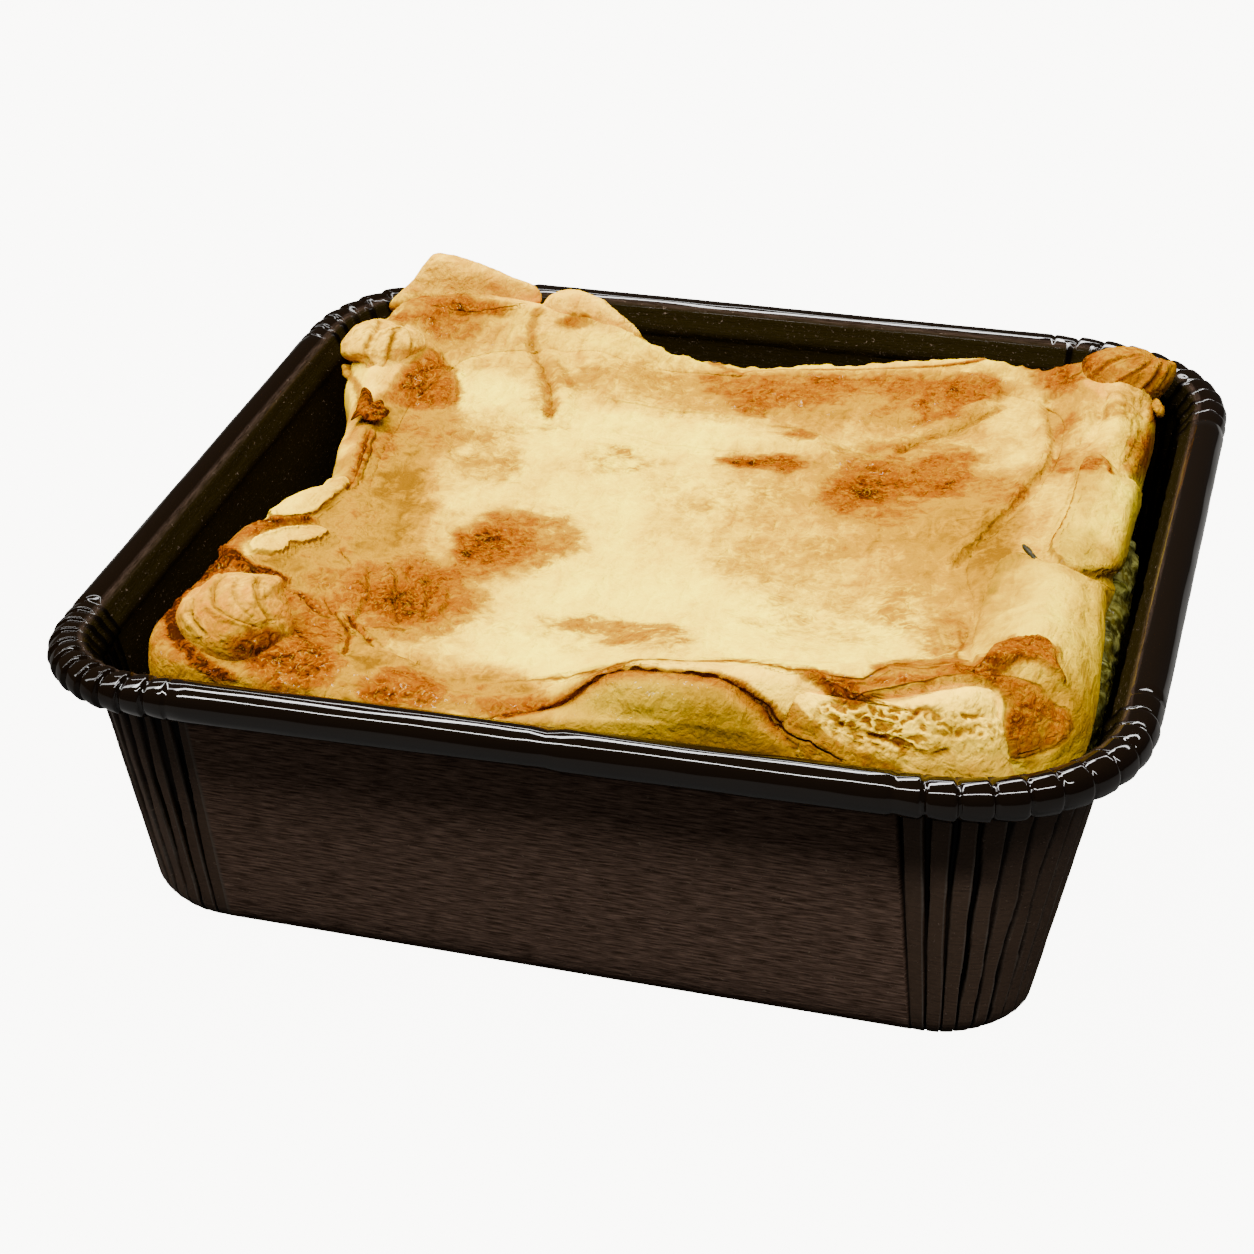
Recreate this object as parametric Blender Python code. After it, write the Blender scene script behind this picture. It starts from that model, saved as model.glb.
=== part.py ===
# Jalapeno quiche in a square paper baking tray: pleated tray, puff pastry case, baked filling.
# Sizes are millimetres until a mesh is written in metres. +Z is up and -Y is the front.
import math

import bmesh
import bpy
from mathutils import Matrix, Vector

MM = 0.001

# Tray: outer width over the rolled rim, roll, walls and base.
TRAY_WIDTH = 150.0
ROLL_RADIUS = 2.95
ROLL_HEIGHT = 42.4
ROLL_START, ROLL_END, ROLL_STEPS = -148.0, 162.0, 10
PAPER = 0.6
BASE_WIDTH = 124.8
BASE_CORNER = 10.7
BASE_FILLET = 3.0
CORNER_FILLET = 4.5
BASE_TWIST = -2.2
WALL_HEIGHTS = (16.0, 30.0)
INNER_WALL_HEIGHTS = (41.0, 30.0, 16.0)
ROLL_CENTRE = TRAY_WIDTH / 2 - ROLL_RADIUS
WALL_INSET = 2.55
WALL_TOP = ROLL_CENTRE - WALL_INSET
LEAST_RADIUS = 1.2
# Radii of the roll's centre line at the front right, rear right, rear left and front left corners.
RIM_CORNERS = (23.8, 22.2, 24.5, 14.2)

# Pleats that gather the paper at each corner.
PLEATS = 11
PLEAT_RIDGE = 0.68
PLEAT_SPREAD_BASE, PLEAT_SPREAD_RIM = 3.0, 5.0
PLEAT_DEPTH_BASE, PLEAT_DEPTH_WALL, PLEAT_DEPTH_ROLL = 0.35, 1.0, 0.4
SIDE_STATIONS = 4

# Case: its outer side as shares of the edge's radius with heights, its shoulder, the lip where the
# baked skin meets it, and its inner side as shares of the lip's radius with heights.
STATIONS = 112
OUTER_SIDE = ((0.855, 0.95), (0.89, 3.4), (0.925, 14.0), (0.975, 29.0))
SHOULDER_DROP, SHOULDER_TOP = 3.2, 41.9
CREST_SHARE, CREST_FALL = 0.4, 0.22
LIP_SHARE = 0.45
LIP_TUCK, LIP_DEPTH = 1.5, 4.0
INNER_SIDE = ((0.93, 20.0), (0.9, 4.7), (0.86, 3.2))

# Baked skin: its level in the middle, where it starts to climb and how far towards the crest it goes.
SKIN_LEVEL = 41.6
SKIN_CLIMB_FROM = 0.55
SKIN_CLIMB = 0.35
SKIN_SHARES = (1.0, 0.9, 0.76, 0.58, 0.36, 0.12)
CLEARANCE = 0.4

# The crust's edge, anticlockwise seen from above: angle in degrees from +X, then in millimetres the
# radius of its outer side, the height of its crest, how far the crest lies in, and the crust's width.
CRUST_EDGE = (
    (-170.9, 54.0, 44.5, 4.0, 6.5),
    (-163.9, 58.5, 46.0, 5.0, 12.0),
    (-149.4, 69.5, 47.0, 6.0, 18.0),
    (-142.4, 76.5, 47.5, 8.0, 25.0),
    (-136.9, 84.5, 46.5, 10.0, 27.0),
    (-131.0, 85.5, 46.0, 11.0, 26.0),
    (-124.3, 80.0, 45.5, 9.0, 19.0),
    (-110.6, 71.5, 44.0, 5.0, 10.0),
    (-97.0, 67.6, 44.5, 3.5, 7.0),
    (-90.0, 67.3, 48.0, 5.0, 12.0),
    (-81.6, 67.8, 51.0, 6.0, 17.0),
    (-72.0, 70.5, 51.0, 6.0, 19.0),
    (-64.0, 74.0, 52.0, 7.5, 21.0),
    (-55.0, 80.5, 53.0, 9.0, 23.0),
    (-48.0, 84.5, 52.0, 10.0, 24.0),
    (-41.0, 83.5, 50.5, 9.5, 23.0),
    (-33.5, 77.5, 50.5, 8.5, 20.5),
    (-26.0, 71.5, 48.0, 8.0, 19.5),
    (-17.0, 66.0, 46.8, 7.5, 19.5),
    (-9.0, 63.3, 46.2, 7.0, 19.0),
    (-2.0, 62.8, 45.0, 6.5, 18.5),
    (7.0, 63.6, 45.8, 6.5, 15.5),
    (16.0, 65.8, 46.2, 6.0, 13.5),
    (24.0, 69.5, 46.0, 6.0, 13.5),
    (33.0, 76.5, 47.0, 6.5, 15.0),
    (41.0, 84.0, 48.5, 8.0, 17.5),
    (47.0, 84.5, 48.0, 8.0, 18.0),
    (52.0, 76.0, 45.5, 5.0, 10.0),
    (59.0, 70.5, 46.3, 4.0, 8.0),
    (68.0, 62.6, 45.0, 3.5, 6.5),
    (78.0, 58.6, 43.6, 3.0, 5.5),
    (92.0, 56.6, 42.4, 3.0, 5.0),
    (104.0, 57.8, 43.2, 3.5, 6.0),
    (112.0, 62.3, 46.5, 4.5, 9.0),
    (118.5, 68.3, 50.6, 5.0, 12.5),
    (123.5, 70.5, 48.6, 4.5, 12.0),
    (131.0, 79.0, 50.0, 7.0, 18.0),
    (137.0, 83.0, 50.0, 9.0, 21.0),
    (144.0, 78.5, 49.0, 8.0, 19.5),
    (154.0, 69.8, 47.0, 6.5, 14.0),
    (163.0, 61.0, 45.5, 5.0, 9.0),
    (176.0, 55.2, 45.0, 4.5, 6.0),
)

# Rolled and folded ends of dough on the crust: centre, half sizes, turn in degrees, folds over each.
DOUGH_ENDS = {
    "front_left_knob": ((-49.8, -55.5, 45.0), (7.8, 8.4, 6.4), 25.0, 4),
    "rear_left_knob": ((-57.0, 35.5, 45.5), (5.8, 8.6, 6.0), -12.0, 4),
    "rear_right_knob": ((57.4, 55.6, 45.2), (7.0, 7.2, 5.8), 30.0, 4),
    "front_right_layers": ((46.5, -57.0, 46.4), (14.5, 8.6, 7.2), 3.0, 4),
    "front_lobe": ((14.0, -62.0, 43.2), (15.5, 4.8, 7.6), 0.0, 0),
}
END_SEGMENTS, END_RINGS = 24, 12
FOLD_DEPTH = 0.5
FOLD_CENTRE = Vector((-0.8, -0.6, 0.3))

# A flap of dough that stands up at the rear left corner: its outline in X and Z, front and back.
FLAP_OUTLINE = (
    (-61.5, 44.0), (-59.5, 50.5), (-56.4, 55.2), (-54.0, 55.8), (-45.0, 52.6), (-38.4, 50.2), (-37.2, 44.0),
)
FLAP_FRONT, FLAP_BACK = 52.6, 57.6
FLAP_ROUND = 1.1

# Where the filling has run out through the right side of the case, beside the tray's wall.
SPILL_FROM, SPILL_TO = Vector((44.0, -34.0, 10.0)), Vector((64.2, 28.0, 36.0))
SPILL_ROUND = 4.0
SPILL_LEAN = 0.165

# Colours in linear light, and roughness.
TRAY_LOOK = ((0.022, 0.014, 0.011), 0.45)
PASTRY_LOOK = ((0.75, 0.4, 0.12), 0.5)
FILLING_LOOK = ((0.93, 0.7, 0.25), 0.45)


def smooth(share):
    share = min(max(share, 0.0), 1.0)
    return share * share * (3.0 - 2.0 * share)


def make_object(name, body, look):
    bmesh.ops.recalc_face_normals(body, faces=body.faces)
    mesh = bpy.data.meshes.new(name)
    body.to_mesh(mesh)
    body.free()
    mesh.transform(Matrix.Scale(MM, 4))
    obj = bpy.data.objects.new(name, mesh)
    bpy.context.collection.objects.link(obj)
    colour, roughness = look
    material = bpy.data.materials.new(name)
    material.use_nodes = True
    shader = material.node_tree.nodes["Principled BSDF"]
    shader.inputs["Base Color"].default_value = (*colour, 1.0)
    shader.inputs["Roughness"].default_value = roughness
    shader.inputs["Metallic"].default_value = 0.0
    mesh.materials.append(material)
    return obj


def shade_round(obj):
    obj.data.shade_smooth()
    obj.data.set_sharp_from_angle(angle=math.radians(45.0))


def closed_rings(rings):
    """A closed body from rings of equally many points, with flat caps at the first and the last."""
    body = bmesh.new()
    rows = [[body.verts.new(point) for point in ring] for ring in rings]
    count = len(rows[0])
    for low, high in zip(rows, rows[1:]):
        for i in range(count):
            j = (i + 1) % count
            body.faces.new((low[i], low[j], high[j], high[i]))
    body.faces.new(rows[0])
    body.faces.new(rows[-1])
    return body


def boolean(target, tool, operation):
    """Applies a Boolean with a tool object, and removes the tool."""
    modifier = target.modifiers.new("boolean", "BOOLEAN")
    modifier.operation = operation
    modifier.object = tool
    graph = bpy.context.evaluated_depsgraph_get()
    result = bpy.data.meshes.new_from_object(target.evaluated_get(graph))
    target.modifiers.clear()
    target.data = result
    bpy.data.objects.remove(tool)


# Tray: one body whose section runs from the base's edge up the outside, round the roll and down the
# inside to the floor, with pleats at the corners.
def tray_stations():
    """Corner, place in the corner or on the side after it, and pleat relief from 0 to 1."""
    stations = []
    for corner in range(4):
        for pleat in range(PLEATS):
            stations.append((corner, pleat / PLEATS, 0.0))
            stations.append((corner, (pleat + PLEAT_RIDGE) / PLEATS, 1.0))
        for step in range(SIDE_STATIONS):
            stations.append((corner, 1.0 + step / SIDE_STATIONS, 1.0))
    return stations


def corner_point(half, radius, spread, corner, share):
    """A point of a rounded square and its outward normal, at a share of one corner's stretch."""
    arc = radius * math.pi / 2
    run = share * (2 * spread + arc) - spread
    turn = min(max(run, 0.0), arc) / radius
    beyond = min(run, 0.0) + max(run - arc, 0.0)
    normal = Vector((math.cos(turn), math.sin(turn)))
    along = Vector((-normal.y, normal.x))
    point = Vector((half - radius, half - radius)) + normal * radius + along * beyond
    quarter = Matrix.Rotation(math.radians(90.0 * (corner - 1)), 2)
    return quarter @ point, quarter @ normal


def tray_point(half, radii, spread, corner, share):
    if share <= 1.0:
        return corner_point(half, radii[corner], spread, corner, share)
    after = (corner + 1) % 4
    start, normal = corner_point(half, radii[corner], spread, corner, 1.0)
    end, _ = corner_point(half, radii[after], spread, after, 0.0)
    return start.lerp(end, share - 1.0), normal


def wall_half(height):
    """Half width of the tray's outer wall at a height."""
    return BASE_WIDTH / 2 + (WALL_TOP - BASE_WIDTH / 2) * min(height / ROLL_HEIGHT, 1.0)


def tray_section(fillet):
    """Height, half width and pleat depth of each row, from the base's edge round to the floor's."""
    rows = []
    turns = [math.radians(22.5 * step) for step in range(5)]
    for turn in turns:
        height = fillet * (1.0 - math.cos(turn))
        rows.append((height, wall_half(height) - fillet * (1.0 - math.sin(turn)), PLEAT_DEPTH_BASE))
    rows += [(height, wall_half(height), PLEAT_DEPTH_WALL) for height in WALL_HEIGHTS]
    for step in range(ROLL_STEPS + 1):
        turn = math.radians(ROLL_START + (ROLL_END - ROLL_START) * step / ROLL_STEPS)
        height = ROLL_HEIGHT + ROLL_RADIUS * math.sin(turn)
        rows.append((height, ROLL_CENTRE + ROLL_RADIUS * math.cos(turn), PLEAT_DEPTH_ROLL))
    rows += [(height, wall_half(height) - PAPER, PLEAT_DEPTH_WALL) for height in INNER_WALL_HEIGHTS]
    inner = fillet - PAPER
    for turn in reversed(turns):
        height = PAPER + inner * (1.0 - math.cos(turn))
        across = wall_half(height) - PAPER - inner * (1.0 - math.sin(turn))
        rows.append((height, across, PLEAT_DEPTH_BASE))
    return rows


def tray_ring(row):
    ring = []
    for corner, share, relief in tray_stations():
        in_corner = math.sin(math.pi * min(share, 1.0)) ** 2
        fillet = BASE_FILLET + (CORNER_FILLET - BASE_FILLET) * in_corner
        height, half, depth = tray_section(fillet)[row]
        rise = min(height / ROLL_HEIGHT, 1.0)
        outset = half - wall_half(height)
        wall_corners = [BASE_CORNER + (rim - WALL_INSET - BASE_CORNER) * rise for rim in RIM_CORNERS]
        radii = [max(radius + outset, LEAST_RADIUS) for radius in wall_corners]
        spread = PLEAT_SPREAD_BASE + (PLEAT_SPREAD_RIM - PLEAT_SPREAD_BASE) * rise
        point, normal = tray_point(half, radii, spread, corner, share)
        point -= normal * depth * (1.0 - relief)
        turned = Matrix.Rotation(math.radians(BASE_TWIST) * (1.0 - rise), 2) @ point
        ring.append((turned.x, turned.y, height))
    return ring


def build_tray():
    rings = [tray_ring(row) for row in range(len(tray_section(BASE_FILLET)))]
    tray = make_object("tray", closed_rings(rings), TRAY_LOOK)
    shade_round(tray)


# Food: the crust's edge and the baked skin, which the case and the filling share.
def crust_edge(angle):
    """Outer radius, crest height, crest inset and crust width at an angle in degrees."""
    count = len(CRUST_EDGE)
    turn = (angle - CRUST_EDGE[0][0]) % 360.0 + CRUST_EDGE[0][0]
    low = max(i for i in range(count) if CRUST_EDGE[i][0] <= turn)
    before, here, after, beyond = [CRUST_EDGE[(low + step) % count] for step in (-1, 0, 1, 2)]
    span = (after[0] - here[0]) % 360.0
    t = (turn - here[0]) / span
    values = []
    for column in range(1, 5):
        slope_in = (after[column] - before[column]) / ((after[0] - before[0]) % 360.0) * span
        slope_out = (beyond[column] - here[column]) / ((beyond[0] - here[0]) % 360.0) * span
        value = here[column] * (2 * t**3 - 3 * t**2 + 1) + after[column] * (3 * t**2 - 2 * t**3)
        values.append(value + slope_in * (t**3 - 2 * t**2 + t) + slope_out * (t**3 - t**2))
    return values


def skin_height(angle, radius):
    """Height of the baked skin, which is level in the middle and climbs to the crust."""
    outer, crest, _, width = crust_edge(angle)
    share = radius / (outer - width)
    climb = smooth((share - SKIN_CLIMB_FROM) / (1.0 - SKIN_CLIMB_FROM))
    return SKIN_LEVEL + (crest - SKIN_LEVEL) * SKIN_CLIMB * climb


def case_section(angle):
    """Radius and height of each point of the case, from its underside up and in to its floor."""
    outer, crest, inset, width = crust_edge(angle)
    shoulder = min(crest - SHOULDER_DROP, SHOULDER_TOP)
    lip = outer - width
    lip_height = skin_height(angle, lip)
    section = [(outer * share, height) for share, height in OUTER_SIDE]
    section += [
        (outer, shoulder),
        (outer - inset * CREST_SHARE, crest - (crest - shoulder) * CREST_FALL),
        (outer - inset, crest),
        (outer - inset - (width - inset) * LIP_SHARE, crest - (crest - lip_height) * LIP_SHARE),
        (lip, lip_height),
        (lip - LIP_TUCK, lip_height - LIP_DEPTH),
    ]
    return section + [(lip * share, height) for share, height in INNER_SIDE]


def filling_section(angle):
    """Radius and height of each point of the filling, from its underside up and in over its skin."""
    outer, _, _, width = crust_edge(angle)
    lip = outer - width
    section = [(lip * share - CLEARANCE, height + CLEARANCE) for share, height in reversed(INNER_SIDE)]
    section.append((lip - LIP_TUCK - CLEARANCE, skin_height(angle, lip) - LIP_DEPTH))
    for share in SKIN_SHARES:
        radius = lip * share
        section.append((radius - CLEARANCE, skin_height(angle, radius)))
    return section


def ring_body(section_at):
    """A closed body from a section that is read at angles all round."""
    rings = []
    angles = [360.0 * station / STATIONS for station in range(STATIONS)]
    sections = [section_at(angle) for angle in angles]
    for row in range(len(sections[0])):
        ring = []
        for angle, section in zip(angles, sections):
            radius, height = section[row]
            turn = math.radians(angle)
            ring.append((radius * math.cos(turn), radius * math.sin(turn), height))
        rings.append(ring)
    return closed_rings(rings)


def dough_end(name):
    """A rolled end of dough: a rounded body with folds that curve over it."""
    centre, sizes, turn, folds = DOUGH_ENDS[name]
    body = bmesh.new()
    bmesh.ops.create_uvsphere(body, u_segments=END_SEGMENTS, v_segments=END_RINGS, radius=1.0)
    place = Matrix.Translation(centre) @ Matrix.Rotation(math.radians(turn), 4, "Z")
    for vertex in body.verts:
        ripple = math.cos(math.pi * folds * (vertex.co - FOLD_CENTRE).length) if folds else 0.0
        grown = 1.0 + FOLD_DEPTH * ripple / min(sizes)
        vertex.co = place @ Vector([part * size * grown for part, size in zip(vertex.co, sizes)])
    return make_object(name, body, PASTRY_LOOK)


def standing_flap():
    body = bmesh.new()
    front = body.faces.new([body.verts.new((x, FLAP_FRONT, z)) for x, z in FLAP_OUTLINE])
    extruded = bmesh.ops.extrude_face_region(body, geom=[front])["geom"]
    for vertex in extruded:
        if isinstance(vertex, bmesh.types.BMVert):
            vertex.co.y = FLAP_BACK
    bmesh.ops.bevel(
        body, geom=body.edges[:], offset=FLAP_ROUND, segments=2, affect="EDGES", profile=0.5, material=-1,
    )
    return make_object("rear_left_flap", body, PASTRY_LOOK)


def spill_body(name, grow):
    """The filling that ran out, or with grow above 0 the window that it leaves in the case."""
    centre = (SPILL_FROM + SPILL_TO) / 2
    size = SPILL_TO - SPILL_FROM + Vector((2 * grow, 2 * grow, 2 * grow))
    body = bmesh.new()
    bmesh.ops.create_cube(body, size=1.0, matrix=Matrix.Translation(centre) @ Matrix.Diagonal((*size, 1.0)))
    bmesh.ops.bevel(
        body, geom=body.edges[:], offset=SPILL_ROUND + grow, segments=2, affect="EDGES", profile=0.5,
        material=-1,
    )
    for vertex in body.verts:
        vertex.co.x += (vertex.co.z - centre.z) * SPILL_LEAN
    return make_object(name, body, FILLING_LOOK)


def build_pastry():
    pastry = make_object("pastry", ring_body(case_section), PASTRY_LOOK)
    for name in DOUGH_ENDS:
        boolean(pastry, dough_end(name), "UNION")
    boolean(pastry, standing_flap(), "UNION")
    boolean(pastry, spill_body("window", CLEARANCE), "DIFFERENCE")
    shade_round(pastry)


def build_filling():
    filling = make_object("filling", ring_body(filling_section), FILLING_LOOK)
    boolean(filling, spill_body("spill", 0.0), "UNION")
    shade_round(filling)


for old in list(bpy.data.objects):
    bpy.data.objects.remove(old)
build_tray()
build_pastry()
build_filling()
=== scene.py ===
# Jalapeno quiche in its square paper baking tray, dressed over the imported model.
# Sizes are millimetres until a mesh is written, where they become metres. -Y is the front.
import itertools
import math

import bmesh
import bpy
import numpy as np
from mathutils import Matrix, Vector


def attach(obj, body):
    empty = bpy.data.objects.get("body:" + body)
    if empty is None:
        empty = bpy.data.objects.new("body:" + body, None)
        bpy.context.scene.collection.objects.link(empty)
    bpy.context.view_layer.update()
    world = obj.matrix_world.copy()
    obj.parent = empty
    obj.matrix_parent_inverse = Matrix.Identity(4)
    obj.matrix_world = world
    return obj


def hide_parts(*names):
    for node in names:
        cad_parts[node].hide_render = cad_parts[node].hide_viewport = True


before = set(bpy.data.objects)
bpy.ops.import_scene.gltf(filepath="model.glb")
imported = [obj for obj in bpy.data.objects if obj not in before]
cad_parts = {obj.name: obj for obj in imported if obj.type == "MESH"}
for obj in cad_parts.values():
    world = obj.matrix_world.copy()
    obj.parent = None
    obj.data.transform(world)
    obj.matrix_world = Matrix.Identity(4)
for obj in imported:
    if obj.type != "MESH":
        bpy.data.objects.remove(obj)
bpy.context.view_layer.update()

# Camera: a short telephoto view from the front, 28 degrees above the table and a little from the right.
MILLIMETRE = 0.001
eye = (96.478, -421.303, 254.366)
yaw, pitch, roll = math.radians(-14.02), math.radians(28.18), math.radians(0.14)
ahead = Vector((math.sin(yaw) * math.cos(pitch), math.cos(yaw) * math.cos(pitch), -math.sin(pitch)))
level = Vector((math.cos(yaw), -math.sin(yaw), 0.0))
above = level.cross(ahead)
across = level * math.cos(roll) + above * math.sin(roll)
upward = above * math.cos(roll) - level * math.sin(roll)


def placed(name, data):
    """A new object of the scene that holds the data."""
    thing = bpy.data.objects.new(name, data)
    bpy.context.collection.objects.link(thing)
    return thing


camera = placed("camera", bpy.data.cameras.new("camera"))
camera_turn = Matrix((across, upward, -ahead)).transposed().to_4x4()
camera.matrix_world = Matrix.Translation(Vector(eye) * MILLIMETRE) @ camera_turn
camera.data.lens = 93.563
camera.data.sensor_width = 36.0
camera.data.clip_start = 0.01
bpy.context.scene.camera = camera


# Paper tray: one sheet of dark coated baking paper, pressed into a square dish. The paper is gathered
# in pleats at the four corners, and its edge is rolled outward into a glossy rim that laps at the front.
TRAY_WIDTH = 150.0
ROLL_RADIUS, ROLL_HEIGHT, ROLL_START, ROLL_END = 2.95, 42.4, -148.0, 162.0
PAPER, BASE_WIDTH, BASE_CORNER = 0.6, 124.8, 10.7
BASE_FILLET, CORNER_FILLET, BASE_TWIST = 3.0, 4.5, math.radians(-2.2)
ROLL_CENTRE = TRAY_WIDTH / 2 - ROLL_RADIUS
WALL_INSET, LEAST_RADIUS = 2.55, 1.2
RIM_CORNERS = np.array((23.8, 22.2, 24.5, 14.2))
GAPS_AT_RIM, GAP_AT_BASE = np.array((0.24, 0.3, 0.35, 0.5)), 0.14
PLEATS, PLEAT_SPREAD_BASE, PLEAT_SPREAD_RIM = 11, 3.0, 5.0
TRAY_COLUMNS, CORNER_PART = 960, 0.82
LAP_SEAM, LAP_WIDTH = -1.3, 0.35
# How deep the pleats are pressed into each part of the wall: outside foot, outside wall, roll, ledge
# under the roll, inside wall and inside foot.
FOOT_REACH, WALL_REACH, ROLL_REACH = 0.45, 1.15, 0.42
LEDGE_REACH, INNER_REACH, INNER_FOOT_REACH = 0.6, 0.9, 0.35
LEDGE_STEPS = ((42.6, 0.1), (41.9, 0.55), (41.3, 0.7), (40.6, 0.6), (40.1, 0.1), (39.4, 0.0))

chance = np.random.default_rng(23)
turns = chance.permutation(256)
leans = chance.normal(size=(256, 3))
leans /= np.linalg.norm(leans, axis=1)[:, None]


def shuffled(cell):
    """A number from 0 to 255 for each cell of space, in no order that shows."""
    near_cell = cell & 255
    return turns[(turns[(turns[near_cell[:, 0]] + near_cell[:, 1]) & 255] + near_cell[:, 2]) & 255]


def rough(points, size, layers=3, keep=0.5):
    """Smooth unevenness, about -1 to 1, over points in millimetres, in layers that halve in size."""
    shape = points.shape[:-1]
    flat = points.reshape(-1, 3)
    total = np.zeros(len(flat))
    for layer in range(layers):
        at = flat / (size * 0.5**layer) + 17.3 * layer + 0.37
        cell = np.floor(at).astype(int)
        part = at - cell
        ease = part**3 * (part * (part * 6.0 - 15.0) + 10.0)
        for corner in itertools.product((0, 1), repeat=3):
            lean = ((part - corner) * leans[shuffled(cell + corner)]).sum(1)
            share = np.where(corner, ease, 1.0 - ease).prod(1)
            total += keep**layer * 1.6 * lean * share
    return total.reshape(shape)


def smooth(share):
    share = np.clip(share, 0.0, 1.0)
    return share * share * (3.0 - 2.0 * share)


def stray(points, reach, size, layers=2, keep=0.5, shifts=(0.0, 40.0)):
    """Uneven steps aside, one for each shift, that make a drawn line or edge wander."""
    return reach * np.stack([rough(points + shift, size, layers, keep) for shift in shifts], -1)


def turned(pair, angle):
    """Level points turned about the upright axis."""
    cosine, sine = np.cos(angle), np.sin(angle)
    east, north = pair[..., 0], pair[..., 1]
    return np.stack((east * cosine - north * sine, east * sine + north * cosine), -1)


def ended(body, name):
    """Ends a bmesh as a mesh, and lists its points."""
    mesh = bpy.data.meshes.new(name)
    body.to_mesh(mesh)
    body.free()
    points = np.empty(len(mesh.vertices) * 3)
    mesh.vertices.foreach_get("co", points)
    return mesh, points.reshape(-1, 3)


def blank_sheet(columns, rows):
    """A grid of faces, the place of each of its points in row order, and shares across and along it."""
    body = bmesh.new()
    bmesh.ops.create_grid(body, x_segments=columns, y_segments=rows, size=0.5)
    mesh, at = ended(body, "sheet")
    at = at + 0.5
    order = np.lexsort((np.round(at[:, 0] * columns), np.round(at[:, 1] * rows)))
    wide, tall = np.meshgrid(np.arange(columns + 1) / columns, np.arange(rows + 1) / rows)
    return mesh, np.argsort(order), wide, tall


def outward(points):
    """Unit normals of a grid of points that closes on itself across its columns."""
    padded = np.concatenate((points[:, -2:-1], points, points[:, 1:2]), axis=1)
    along = (padded[:, 2:] - padded[:, :-2]) / 2
    normal = np.cross(along, np.gradient(points, axis=0))
    return normal / np.maximum(np.linalg.norm(normal, axis=-1, keepdims=True), 1e-9)


SEAM_REACH = 2e-6


def finish_piece(name, mesh, points, marks, node, material, places=None, paper=None, close=None):
    """Writes points and marks on a mesh, merges its seams and poles, and fits it over a node."""

    def listed(values):
        return values if places is None else values.reshape((-1,) + values.shape[2:])[places]

    mesh.vertices.foreach_set("co", (listed(points) * MILLIMETRE).ravel())
    for mark, values in marks.items():
        mesh.attributes.new(mark, "FLOAT", "POINT").data.foreach_set("value", listed(values).ravel())
    if paper is not None:
        corners = np.empty(len(mesh.loops), dtype=np.int32)
        mesh.loops.foreach_get("vertex_index", corners)
        mesh.uv_layers.new(name="paper").data.foreach_set("uv", listed(paper)[corners].ravel())
    body = bmesh.new()
    body.from_mesh(mesh)
    if close:
        close(body)
    bmesh.ops.remove_doubles(body, verts=body.verts, dist=SEAM_REACH)
    bmesh.ops.recalc_face_normals(body, faces=body.faces)
    body.to_mesh(mesh)
    body.free()
    mesh.name = name
    mesh.shade_smooth()
    mesh.materials.append(material)
    piece = placed(name, mesh)
    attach(piece, "root")
    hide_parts(node)


def tray_profile(fillet):
    """Height, half width and reach of the pleats in each row, from under the base round to its inside."""
    top = ROLL_CENTRE - WALL_INSET
    rows = [(0.0, 0.0, 0.0), (0.0, BASE_WIDTH / 2 - fillet - 4.0, 0.0)]

    def half(height):
        return BASE_WIDTH / 2 + (top - BASE_WIDTH / 2) * np.minimum(height / ROLL_HEIGHT, 1.0)

    for turn in np.radians(np.linspace(0.0, 90.0, 7)):
        height = fillet * (1.0 - math.cos(turn))
        rows.append((height, half(height) - fillet * (1.0 - math.sin(turn)), FOOT_REACH))
    rows += [(height, half(height), WALL_REACH) for height in np.linspace(6.0, 40.2, 20)]
    for turn in np.radians(np.linspace(ROLL_START, ROLL_END, 34)):
        height = ROLL_HEIGHT + ROLL_RADIUS * math.sin(turn)
        rows.append((height, ROLL_CENTRE + ROLL_RADIUS * math.cos(turn), ROLL_REACH))
    for height, step in LEDGE_STEPS:
        rows.append((height, half(height) - PAPER - step, LEDGE_REACH))
    rows += [(height, half(height) - PAPER, INNER_REACH) for height in np.linspace(37.0, 6.0, 10)]
    for turn in np.radians(np.linspace(90.0, 0.0, 5)):
        height = PAPER + (fillet - PAPER) * (1.0 - math.cos(turn))
        inward = PAPER + (fillet - PAPER) * (1.0 - math.sin(turn))
        rows.append((height, half(height) - inward, INNER_FOOT_REACH))
    rows += [(PAPER, BASE_WIDTH / 2 - fillet - 5.0, 0.0), (PAPER, 0.0, 0.0)]
    return np.array(rows), half


straight_rows, wall_half = tray_profile(BASE_FILLET)
corner_rows, _ = tray_profile(CORNER_FILLET)
TRAY_ROWS = len(straight_rows) - 1
tray_mesh, tray_places, wide, tall = blank_sheet(TRAY_COLUMNS, TRAY_ROWS)
quarter = np.minimum(np.floor(wide * 4.0), 3).astype(int)
through = wide * 4.0 - quarter
past_corner = (through - CORNER_PART) / (1.0 - CORNER_PART)
share = np.where(through < CORNER_PART, through / CORNER_PART, 1.0 + past_corner)
in_corner = np.sin(np.pi * np.minimum(share, 1.0)) ** 2
row = np.round(tall * TRAY_ROWS).astype(int)
profile = straight_rows[row] + (corner_rows[row] - straight_rows[row]) * in_corner[..., None]
height, half_width, pleat_reach = profile[..., 0], profile[..., 1], profile[..., 2]
rise = np.minimum(height / ROLL_HEIGHT, 1.0)
outset = half_width - wall_half(height)


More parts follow.
